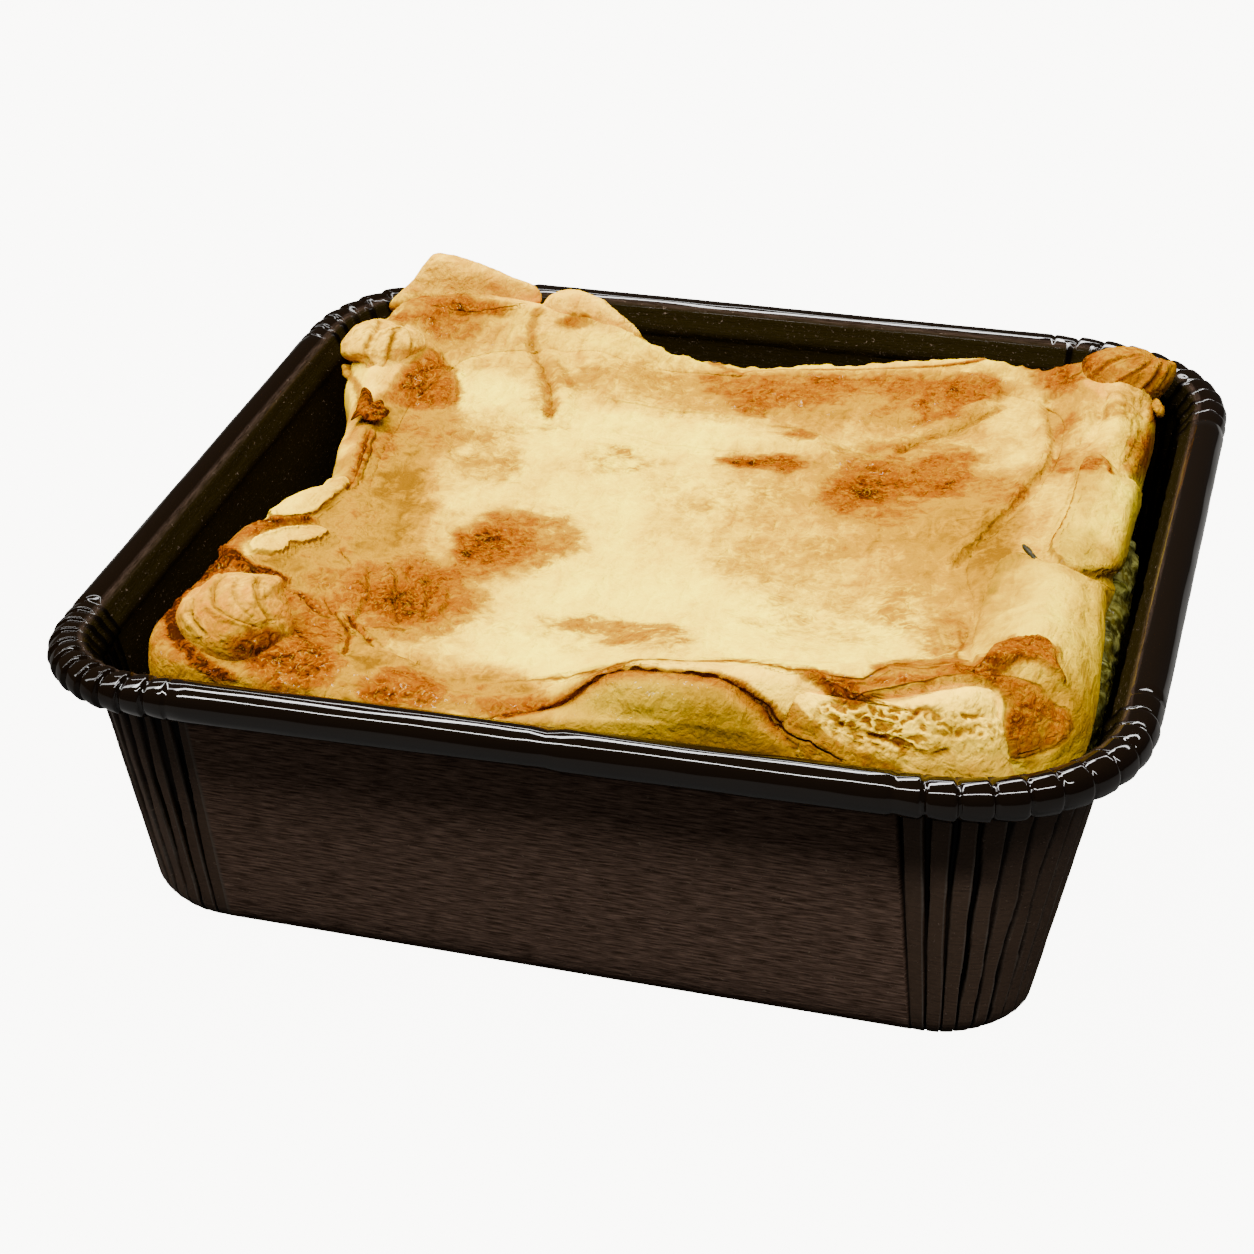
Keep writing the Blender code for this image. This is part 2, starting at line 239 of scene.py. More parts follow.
def corner_place(corner, part):
    """Points and outward directions of a rounded square of the tray's size, at shares of one corner."""
    radius = BASE_CORNER + (RIM_CORNERS[corner] - WALL_INSET - BASE_CORNER) * rise
    radius = np.clip(radius + outset, np.minimum(LEAST_RADIUS, half_width * 0.4 + 1e-6), half_width + 1e-6)
    spread = (PLEAT_SPREAD_BASE + (PLEAT_SPREAD_RIM - PLEAT_SPREAD_BASE) * rise) * smooth(half_width / 30.0)
    arc = radius * np.pi / 2
    run = part * (2 * spread + arc) - spread
    turn = np.clip(run, 0.0, arc) / radius
    beyond = np.minimum(run, 0.0) + np.maximum(run - arc, 0.0)
    facing = np.stack((np.cos(turn), np.sin(turn)), -1)
    place = (half_width - radius)[..., None] + facing * radius[..., None]
    place += np.stack((-facing[..., 1], facing[..., 0]), -1) * beyond[..., None]
    angle = np.pi / 2 * (corner - 1)
    return turned(place, angle), turned(facing, angle)


corner_spot, corner_facing = corner_place(quarter, np.minimum(share, 1.0))
side_end, _ = corner_place((quarter + 1) % 4, np.zeros_like(share))
on_side = np.clip(share - 1.0, 0.0, 1.0)[..., None]
flat_spot = corner_spot * (1.0 - on_side) + side_end * on_side

# Each pleat is a fold that rises to an open edge, with a gap beside it that is painted dark as shade.
# Pleats wander, and some end early.
pleat_number = np.minimum(share, 1.0) * PLEATS
wander = np.stack((pleat_number * 1.7 + quarter * 9.0, height * 0.09, quarter * 3.0 + 0.5), -1)
freedom = np.sin(np.pi * np.minimum(share, 1.0)) * (1.0 - 0.8 * (rise > 0.97))
pleat_number = pleat_number + 0.22 * rough(wander, 1.0, 1) * freedom
fold = np.mod(pleat_number, 1.0)
gap_part = GAP_AT_BASE + (GAPS_AT_RIM[quarter] - GAP_AT_BASE) * smooth(rise * 1.25 - 0.2)
gap = smooth(fold / 0.05) * (1.0 - smooth((fold - gap_part) / 0.06))
which = np.stack((np.floor(pleat_number) * 3.1 + quarter * 7.7, height * 0.05, np.zeros_like(height)), -1)
strength = np.clip(0.9 + 0.5 * rough(which, 1.0, 1), 0.3, 1.1)
edge_ends = smooth(share / 0.02) * smooth((1.02 - share) / 0.02)
in_pleats = (share <= 1.0) * edge_ends
on_roll = smooth((straight_rows[row][..., 1] - (ROLL_CENTRE - 2.4)) / 1.2)
pleat_depth = 0.95 * gap + 0.3 * (1.0 - fold) * (1.0 - gap)
pressed = pleat_reach * in_pleats * (1.0 - on_roll) * strength * pleat_depth
flat_spot = flat_spot - corner_facing * pressed[..., None]
tray_points = np.concatenate((turned(flat_spot, BASE_TWIST * (1.0 - rise)), height[..., None]), -1)

# The coated paper is never quite even: long shallow waves along the roll, crumples inside, and a
# crimped ledge.
rim_line = tray_points[len(straight_rows) // 2]
run_round = np.concatenate(([0.0], np.cumsum(np.linalg.norm(np.diff(rim_line[:, :2], axis=0), axis=1))))
run_round = np.broadcast_to(run_round, share.shape)
steps_up = np.linalg.norm(np.diff(straight_rows[:, :2], axis=0), axis=1)
run_up = np.concatenate(([0.0], np.cumsum(steps_up)))[row]
inside = (row > np.argmax(straight_rows[:, 0])).astype(float)
still = np.zeros_like(height)
waves = rough(np.stack((run_round * 0.055, run_up * 0.85, still), -1), 1.0, 2)
kinks = rough(np.stack((run_round * 0.35, run_up * 1.2, still + 5.0), -1), 1.0, 2)
crimp = np.exp(-(((height - 41.2) / 1.0) ** 2)) * inside * (1.0 - on_roll)
segment = in_pleats * (0.5 * np.exp(-(((fold + 0.5) % 1.0 - 0.5) / 0.055) ** 2) + 0.42 * (1.0 - fold) ** 2)
at_front = flat_spot[..., 1] < -60.0
past_lap = flat_spot[..., 0] - LAP_SEAM
lap_step = 0.45 * np.exp(-((past_lap / LAP_WIDTH) ** 2))
lap = at_front * (lap_step + 0.25 * (past_lap < 0.0) * np.exp(past_lap / 12.0))
ripple = on_roll * (0.11 * waves + 0.022 * kinks) + crimp * 0.3 * kinks
ripple += (1.0 - on_roll) * (0.05 * kinks * inside + 0.09 * waves * (height > 4.0))
gather = np.concatenate((ripple[:, :1], ripple[:, 1:-1], ripple[:, :1]), axis=1)
low_edge = smooth(height / 2.0)
gather = np.abs(gather) + on_roll * (segment + lap)
tray_points = tray_points - outward(tray_points) * (gather * low_edge)[..., None]


def new_material(name, **fixed):
    material = bpy.data.materials.new(name)
    material.use_nodes = True
    shader = material.node_tree.nodes["Principled BSDF"]
    for socket, value in fixed.items():
        shader.inputs[socket.replace("_", " ")].default_value = value
    return material, material.node_tree, shader


def add(tree, kind, settings=None, **inputs):
    """A shader node with its settings, its plain values and its links."""
    made = tree.nodes.new("ShaderNode" + kind)
    for key, value in (settings or {}).items():
        setattr(made, key, value)
    for key, value in inputs.items():
        socket = made.inputs[int(key[1:])] if key[1:].isdigit() else made.inputs[key.replace("_", " ")]
        if isinstance(value, bpy.types.NodeSocket):
            tree.links.new(value, socket)
        else:
            socket.default_value = value
    return made


def mark_of(tree, name):
    return add(tree, "Attribute", {"attribute_name": name}).outputs["Fac"]


def sums(tree, operation, first, second, clamp=False):
    return add(tree, "Math", {"operation": operation, "use_clamp": clamp}, i0=first, i1=second).outputs[0]


def times(tree, first, second, clamp=False):
    return sums(tree, "MULTIPLY", first, second, clamp)


def plus(tree, first, second, clamp=False):
    return sums(tree, "ADD", first, second, clamp)


def minus(tree, first, second):
    return sums(tree, "SUBTRACT", first, second)


def between(tree, value, low, high):
    """0 below low, 1 above high, and an even change between them."""
    return add(tree, "MapRange", {"clamp": True}, Value=value, From_Min=low, From_Max=high).outputs[0]


def blend(tree, share, first, second):
    """The first tone or colour where share is 0, the second where it is 1."""
    first, second = (tone + (1.0,) if isinstance(tone, tuple) else tone for tone in (first, second))
    return add(tree, "Mix", {"data_type": "RGBA"}, i0=share, i6=first, i7=second).outputs[2]


def noise(tree, at, scale, detail, roughness=0.5, distortion=0.0):
    return add(tree, "TexNoise", Vector=at, Scale=scale, Detail=detail, Roughness=roughness,
               Distortion=distortion).outputs[0]


def bumped(tree, shader, height, strength, distance):
    """Fine relief on a material, up to a distance in metres."""
    relief_node = add(tree, "Bump", Height=height, Strength=strength, Distance=distance)
    tree.links.new(relief_node.outputs[0], shader.inputs["Normal"])


def stretched(tree, at, scale, turn=0.0):
    """Places for a pattern that is drawn out or pressed together along each axis."""
    return add(tree, "Mapping", Vector=at, Rotation=(0.0, 0.0, turn), Scale=scale).outputs[0]


paper_material, tree, shader = new_material(
    "coated_paper", Roughness=0.6, Specular_IOR_Level=0.0, Coat_Roughness=0.045, Coat_IOR=1.4)
paper_at = add(tree, "UVMap", {"uv_map": "paper"}).outputs[0]
ribs = noise(tree, stretched(tree, paper_at, (0.3, 3.4, 1.0)), 1.0, 3.0, 0.6)
flecks = noise(tree, stretched(tree, paper_at, (1.3, 2.2, 1.0)), 1.0, 2.0, distortion=1.2)
curls = noise(tree, stretched(tree, paper_at, (0.7, 0.9, 1.0)), 1.0, 2.0, distortion=2.4)
hair = sums(tree, "ABSOLUTE", minus(tree, curls, 0.52), 0.0)
hair = times(tree, between(tree, hair, 0.012, 0.0), between(tree, flecks, 0.5, 0.6))
speck = sums(tree, "MAXIMUM", between(tree, flecks, 0.68, 0.74), times(tree, hair, 0.7))
rim_mark = mark_of(tree, "rim")
speck = times(tree, speck, minus(tree, 1.0, rim_mark))
dull = (0.02, 0.0115, 0.0075)
sheen = (0.095, 0.06, 0.044)
wall = blend(tree, between(tree, ribs, 0.36, 0.68), dull, sheen)
wall = blend(tree, mark_of(tree, "pleated"), wall, (0.036, 0.023, 0.0155))
# Painted shade: the whole inside wall is coloured near black, as it lies in the tray's shade.
wall = blend(tree, mark_of(tree, "inside"), wall, (0.007, 0.0048, 0.0008))
wall = blend(tree, rim_mark, wall, (0.003, 0.0016, 0.0007))
wall = blend(tree, times(tree, speck, 0.6), wall, (0.13, 0.095, 0.07))
# Painted highlight: a lighter grey band along each pleat's raised edge, and faintly just past its gap.
wall = blend(tree, times(tree, mark_of(tree, "edge"), 0.6), wall, (0.075, 0.066, 0.055))
# Painted shade: near black in the gaps between the pleats, under the roll and low on the outside wall.
wall = blend(tree, mark_of(tree, "gap"), wall, (0.0012, 0.0008, 0.0006))
tree.links.new(wall, shader.inputs["Base Color"])
coat = plus(tree, times(tree, rim_mark, 0.9), times(tree, mark_of(tree, "pleated"), 0.1))
coat = times(tree, coat, minus(tree, 1.0, times(tree, mark_of(tree, "worn"), 0.6)))
tree.links.new(coat, shader.inputs["Coat Weight"])
grain = plus(tree, ribs, times(tree, speck, 0.4))
grain = times(tree, grain, minus(tree, 1.0, times(tree, rim_mark, 0.93)))
bumped(tree, shader, grain, 0.9, 0.0002)

facing_left = smooth((-tray_points[..., 0] - 58.0) / 6.0)
on_wall = in_pleats * (1.0 - on_roll) * (pleat_reach > 0.4)
# Where the painted highlight of the pleats' edges lies.
past_gap = 0.4 * (1.0 - smooth((fold - gap_part - 0.05) / 0.06)) * (fold > gap_part)
edge_highlight = np.maximum(smooth((fold - 0.9) / 0.06), past_gap)
# Painted shade under the rolled rim and low on the outside wall by the table, joined to the gaps' shade in
# the gap mark.
shade_under_roll = (1.0 - inside) * (1.0 - on_roll) * np.exp(-(((height - 40.5) / 3.0) ** 2))
shade_near_table = (1.0 - inside) * (1.0 - smooth(height / 5.0))
tray_marks = {
    "rim": on_roll,
    # inside: the inside wall, coloured near black as painted shade.
    "inside": inside * (1.0 - on_roll),
    "pleated": on_wall * (1.0 - inside),
    "gap": np.clip(on_wall * gap * strength * 1.2 + 0.85 * shade_under_roll + 0.5 * shade_near_table, 0.0, 1.0),
    "edge": on_wall * edge_highlight * strength * (1.0 - inside),
    "worn": facing_left * on_roll,
}
finish_piece(
    "paper_tray", tray_mesh, tray_points, tray_marks, "tray", paper_material, tray_places,
    paper=np.stack((run_round, run_up), -1),
)

# Food, shared by the case and the baked custard: the outline of the crust all round, read from the
# middle as angle, outer radius, crest height, how far in the crest lies, and the crust's width.
CRUST_EDGE = np.array((
    (-170.9, 54.0, 44.5, 4.0, 6.5), (-163.9, 58.5, 46.0, 5.0, 12.0), (-149.4, 69.5, 47.0, 6.0, 18.0),
    (-142.4, 76.5, 47.5, 8.0, 25.0), (-136.9, 84.5, 46.5, 10.0, 27.0), (-131.0, 85.5, 46.0, 11.0, 26.0),
    (-124.3, 80.0, 45.5, 9.0, 19.0), (-110.6, 71.5, 44.0, 5.0, 10.0), (-97.0, 67.6, 44.5, 3.5, 7.0),
    (-90.0, 67.3, 48.0, 5.0, 12.0), (-81.6, 67.8, 51.0, 6.0, 17.0), (-72.0, 70.5, 51.0, 6.0, 19.0),
    (-64.0, 74.0, 52.0, 7.5, 21.0), (-55.0, 80.5, 53.0, 9.0, 23.0), (-48.0, 84.5, 52.0, 10.0, 24.0),
    (-41.0, 83.5, 50.5, 9.5, 23.0), (-33.5, 77.5, 50.5, 8.5, 20.5), (-26.0, 71.5, 48.0, 8.0, 19.5),
    (-17.0, 66.0, 46.8, 7.5, 19.5), (-9.0, 63.3, 46.2, 7.0, 19.0), (-2.0, 62.8, 45.0, 6.5, 18.5),
    (7.0, 63.6, 45.8, 6.5, 15.5), (16.0, 65.8, 46.2, 6.0, 13.5), (24.0, 69.5, 46.0, 6.0, 13.5),
    (33.0, 76.5, 47.0, 6.5, 15.0), (41.0, 84.0, 48.5, 8.0, 17.5), (47.0, 84.5, 48.0, 8.0, 18.0),
    (52.0, 76.0, 45.5, 5.0, 10.0), (59.0, 70.5, 46.3, 4.0, 8.0), (68.0, 62.6, 45.0, 3.5, 6.5),
    (78.0, 58.6, 43.6, 3.0, 5.5), (92.0, 56.6, 42.4, 3.0, 5.0), (104.0, 57.8, 43.2, 3.5, 6.0),
    (112.0, 62.3, 46.5, 4.5, 9.0), (118.5, 68.3, 50.6, 5.0, 12.5), (123.5, 70.5, 48.6, 4.5, 12.0),
    (131.0, 79.0, 50.0, 7.0, 18.0), (137.0, 83.0, 50.0, 9.0, 21.0), (144.0, 78.5, 49.0, 8.0, 19.5),
    (154.0, 69.8, 47.0, 6.5, 14.0), (163.0, 61.0, 45.5, 5.0, 9.0), (176.0, 55.2, 45.0, 4.5, 6.0),
))
SKIN_LEVEL, SKIN_CLIMB_FROM, SKIN_CLIMB = 41.6, 0.55, 0.35
# How far the case's edge stands above the custard (or, below 0, the custard above the case), by angle.
LIP_STEP = np.array((
    (-180, 0.1), (-160, -0.2), (-147, -0.7), (-128, -0.8), (-112, -0.1), (-95, 0.1), (-80, 0.35),
    (-60, 0.3), (-45, 0.4), (-36, 0.1), (-24, -0.05), (-12, 0.25), (0, 0.55), (25, 0.5), (40, 0.15),
    (52, 0.0), (70, 0.12), (95, 0.15), (110, 0.0), (150, 0.0), (180, 0.1),
))
CHART_LEVEL = 42.5


def crust_edge(angle):
    """Outer radius, crest height, crest inset and crust width at angles in degrees, joined smoothly."""
    count = len(CRUST_EDGE)
    turn = (angle - CRUST_EDGE[0, 0]) % 360.0 + CRUST_EDGE[0, 0]
    low = np.searchsorted(CRUST_EDGE[:, 0], turn, side="right") - 1
    before, here, after, beyond = (CRUST_EDGE[(low + step) % count] for step in (-1, 0, 1, 2))
    span = (after[..., :1] - here[..., :1]) % 360.0
    t = (turn[..., None] - here[..., :1]) / span
    slope_in = (after - before) / ((after[..., :1] - before[..., :1]) % 360.0) * span
    slope_out = (beyond - here) / ((beyond[..., :1] - here[..., :1]) % 360.0) * span
    value = here * (2 * t**3 - 3 * t**2 + 1) + after * (3 * t**2 - 2 * t**3)
    value = value + slope_in * (t**3 - 2 * t**2 + t) + slope_out * (t**3 - t**2)
    return value[..., 1], value[..., 2], value[..., 3], value[..., 4]


def skin_height(angle, radius):
    outer, crest, _, width = crust_edge(angle)
    climb = smooth((radius / (outer - width) - SKIN_CLIMB_FROM) / (1.0 - SKIN_CLIMB_FROM))
    return SKIN_LEVEL + (crest - SKIN_LEVEL) * SKIN_CLIMB * climb


def on_chart(points):
    """Where each point falls on a level chart of the food, as the eye at the camera's place sees it."""
    scale = (eye[2] - CHART_LEVEL) / (eye[2] - points[..., 2])
    return np.stack([eye[i] + (points[..., i] - eye[i]) * scale for i in (0, 1)], -1)


def from_chart(spot, height):
    """The point at a height that falls on a spot of the chart."""
    scale = (eye[2] - height) / (eye[2] - CHART_LEVEL)
    return np.array([eye[i] + (spot[i] - eye[i]) * scale for i in (0, 1)] + [height])


def bend(p, q, r, s, t):
    """A smooth curve from q to r at the share t, on its way from p to s."""
    return 0.5 * (2 * q + (r - p) * t + (2 * p - 5 * q + 4 * r - s) * t**2 + (3 * q - p - 3 * r + s) * t**3)


def drawn(points, closed=False, steps=5):
    """A smooth line through places on the chart."""
    places = np.array(points, float)
    ends = (places[-1:], places[:1], places[1:2]) if closed else (places[:1], places[-1:], places[-1:])
    around = np.concatenate((ends[0], places) + ends[1:])
    line = []
    for i in range(1, len(around) - 2):
        line += [bend(*around[i - 1:i + 3], t) for t in np.arange(steps) / steps]
    return np.array(line if closed else line + [places[-1]])


def reach_of(chart, line, reach, closed=False):
    """Distance to a line on the chart, up to reach. Around a closed line it is below 0 outside."""
    flat = chart.reshape(-1, 2)
    found = np.full(len(flat), float(reach))
    close_by = np.all((flat > line.min(0) - reach) & (flat < line.max(0) + reach), axis=1)
    spots = flat[close_by]
    ends = np.concatenate((line[1:], line[:1])) if closed else line[1:]
    nearest = np.full(len(spots), float(reach) ** 2)
    within = np.zeros(len(spots), dtype=bool)
    for a, b in zip(line, ends):
        run = b - a
        share_along = np.clip(((spots - a) @ run) / max(run @ run, 1e-9), 0.0, 1.0)
        nearest = np.minimum(nearest, ((spots - a - share_along[:, None] * run) ** 2).sum(1))
        if closed and a[1] != b[1]:
            crosses = (a[1] > spots[:, 1]) != (b[1] > spots[:, 1])
            within ^= crosses & (spots[:, 0] < a[0] + run[0] * (spots[:, 1] - a[1]) / run[1])
    found[close_by] = np.sqrt(nearest)
    if closed:
        found[close_by] *= np.where(within, 1.0, -1.0)
        found[~close_by] = -reach
    return found.reshape(chart.shape[:-1])


def line_on(chart, points, width, jitter):
    """1 along a line, falling softly to 0 at about twice the width beside it."""
    return np.exp(-((reach_of(chart + jitter, drawn(points), width * 3.0) / width) ** 2))


def patch_on(chart, points, edge, jitter):
    """1 inside an outline and 0 outside, with a soft edge between them."""
    within = reach_of(chart + jitter, drawn(points, closed=True), edge * 2.0 + 1.0, closed=True)
    return smooth(within / edge + 0.5)


def spot_on(chart, centre, half, turn, jitter, soft=0.9):
    """1 in the middle of an oval spot, falling to 0 a little past its edge."""
    angle = math.radians(turn)
    away = chart + jitter - np.array(centre)
    long = (away[..., 0] * math.cos(angle) + away[..., 1] * math.sin(angle)) / half[0]
    wide_way = (away[..., 1] * math.cos(angle) - away[..., 0] * math.sin(angle)) / half[1]
    return smooth((1.0 + soft / 2 - np.sqrt(long**2 + wide_way**2)) / soft)


# Outlines and lines on the chart, which both the relief and the colours follow.
CREST_LINE = (
    (-14, -58.8), (-10.5, -56.5), (-5.2, -54.1), (-0.5, -50.6), (2.5, -48.2), (5.4, -46.2), (9.5, -45.4),
    (14.2, -44.4), (18.9, -43.5), (24.8, -43.8), (27.8, -43.5), (30.7, -44.4), (34.8, -44.1), (36.6, -40.6),
    (38.9, -39.1), (42.5, -38.7), (45.4, -37.6), (48.4, -37.6), (49.5, -38.2),
)
WAVE_LINE = (
    (-9.3, -65.5), (-6.4, -63.8), (-3.4, -61.2), (-1.6, -57.6), (-0.2, -53.5), (1.9, -50.6), (4.8, -48.8),
    (8.9, -48.4), (13.6, -48.2), (16, -48.1), (18.4, -49.4), (20.1, -50.9), (22.5, -53.2), (24.2, -54.7),
    (26, -58.2), (28.4, -60.6), (32.5, -63.5), (36, -66),
)
NOTCH_LINE = (
    (28.4, -44.7), (32.5, -47.6), (34.2, -50.3), (36.6, -47.6), (40.1, -45.3), (44.8, -41.8), (48.4, -40.3),
    (50.7, -40.3),
)
FOLD_LINE = (
    (47.2, 55), (46.6, 51.4), (48.5, 42), (49.8, 34.4), (49.9, 28.5), (49.4, 25.5), (48.1, 20.2),
    (47.5, 16.1), (46.1, 10.2), (44.9, 5.5), (43.7, 0.2), (42.2, -3.9), (41.4, -7.4),
)
CRACK_LINE = (
    (-50, -35.7), (-48.5, -38.2), (-46, -39.8), (-43.5, -42.3), (-41.2, -45.2), (-40, -45.5), (-38.5, -44.5),
    (-37.1, -44.8), (-36.2, -46.4), (-34.4, -48.6), (-32.8, -50.2), (-30.7, -53), (-28, -53.6), (-24.4, -55),
)
SECOND_CRACK = ((-36.4, -48.4), (-35.3, -50.9), (-34.5, -54.5))
REAR_CREASE = ((40, 48), (37, 42.5), (33.5, 37), (30, 33), (27.5, 28.5))
LOBE_CREASE = ((-40, 56.8), (-36.7, 50.4), (-33.8, 43.9), (-30.8, 36.8), (-28.2, 28.6))
SKIN_WAVE = ((-32, 30), (-22, 28), (-14, 26.5), (-6, 24.5), (4, 25), (12, 27.5), (18, 23.5), (26, 21.5))
TONGUE = (
    (55.3, 25), (55.6, 30), (57.2, 32), (58.6, 30.6), (60.5, 27), (64, 22), (64.5, 0), (60, -6.5), (56, -4),
    (54.3, -1.5), (54.2, 3), (55, 10), (55.1, 18),
)
SECOND_LOBE = (
    (50, -3), (53, -4), (57, -6), (61, -8.5), (66, -12), (69, -40), (68, -66), (60, -66), (61.5, -52),
    (60, -42), (54, -37.5), (49.5, -38.2), (47.5, -28), (47.5, -15), (48, -6),
)
BROWN_CAP = (
    (49.8, -38.2), (50.7, -35.9), (52.3, -32.8), (54.6, -30.2), (56.6, -29.2), (58, -31.6), (58.8, -35.8),
    (60.2, -40.6), (58, -38), (55.4, -36.2), (52, -37.6),
)
BROWN_END = (
    (50.7, -39.6), (54, -39), (57.2, -40.3), (59.5, -43.8), (61.9, -47.9), (62.5, -52), (60.7, -57.6),
    (57.5, -60), (56, -56), (54.9, -50.6), (54.3, -45.9), (52.9, -42.4),
)
KNOB_FRONT_LEFT = (
    (-58.7, -35.7), (-54.8, -35), (-50.7, -35.5), (-48.9, -39.1), (-46.6, -43.2), (-44.4, -47.7),
    (-43, -51.8), (-42.3, -55.9), (-42.1, -60.5), (-43.5, -62.3), (-45.5, -64.1), (-48.5, -63.2),
    (-51.2, -61.4), (-53.9, -59.1), (-57.1, -55.5), (-59.8, -51.4), (-61.2, -46.8), (-61.4, -42.3),
    (-60, -39.5),
)
PALE_FLAKE = (
    (-58, -26.8), (-57.8, -28.6), (-56.2, -29.6), (-53.5, -29.5), (-52.1, -28.2), (-52.1, -25.9),
    (-49.8, -24.5), (-48.2, -22.7), (-48.5, -20.9), (-50.7, -20.1), (-53.9, -20.4), (-56.2, -22.3),
    (-57.5, -24.5),
)
LEFT_LOBE = (
    (-51, -2.5), (-55, -5), (-58, -9), (-58.9, -14), (-57.6, -19.5), (-54.5, -18), (-52.2, -14), (-51.2, -8),
)
KNOB_REAR_LEFT = (
    (-68.9, 55), (-68.9, 50.4), (-68.2, 45), (-66, 40.4), (-62, 39), (-60.5, 35), (-60, 31), (-56.5, 27.4),
    (-55.2, 31), (-55.2, 43.9), (-55, 49), (-57.5, 54), (-60.2, 56.4), (-62.6, 58), (-66.1, 57.6),
)
REAR_LEFT_BROWN = (
    (-55, 48), (-53.2, 47.4), (-50.2, 42.1), (-47.3, 40.4), (-45.5, 35), (-43.8, 29.2), (-44.4, 26.8),
    (-51.4, 24.6), (-54.8, 26.8), (-55.2, 35),
)
BURNT_EDGE = (
    (-53, -17.7), (-56.6, -19.7), (-58.8, -21.9), (-60, -24.3), (-60.6, -27.3), (-61.3, -30), (-62.6, -32.5),
    (-62.9, -35.5), (-62.7, -40.5), (-62.4, -45.9),
)
KNOB_RING = ((-62.4, -45.9), (-60.8, -50.9), (-57.4, -56.2), (-54.2, -60.5), (-51, -62.9), (-47.5, -64.8))
KNOB_TOP_BAND = ((-60, -30), (-57, -33.4), (-53, -34.3), (-50.3, -35.7))
LEFT_CREASE = ((-54, 16), (-52.5, 8), (-51, 0), (-50.5, -5))
RIGHT_CREASE = ((44.8, -25.3), (46, -31.8), (46.3, -37.6))
SPOT_CREASE = ((-36.6, -27.3), (-33.5, -34), (-32, -40), (-30.3, -44))
SKIN_RIPPLE = ((-18, 24), (-8, 21.5), (2, 22))
REAR_SWELL = ((-2, 51), (8, 41), (24, 38), (30, 40), (36, 44), (39, 56), (30, 60), (12, 55))
BURNT_CORNER = (
    (-60, -30), (-63.5, -31), (-63.5, -46), (-61.5, -52), (-57.5, -58), (-52, -64), (-48, -66),
    (-47.5, -63.2), (-51, -61.4), (-54.5, -58.2), (-58.4, -53.2), (-60.8, -49), (-61.2, -42), (-60.6, -37),
)
BURNT_BAND = (
    (-60, -29.5), (-56, -32.2), (-50.4, -34), (-49.6, -36.6), (-54, -36.2), (-58.4, -36.8), (-61.5, -34),
)
FRONT_LOBE = WAVE_LINE + ((37, -70), (28, -74), (12, -76), (-4, -74), (-10, -69))
FRONT_LAYERS = (
    (31, -49), (34.2, -51), (36.6, -49), (40.1, -46.6), (44.8, -43.6), (48.4, -42), (51.4, -42), (53, -44),
    (54.2, -50.6), (55.4, -60.6), (56, -68), (52, -74), (40, -74), (32, -68), (27, -60), (28, -54),
)


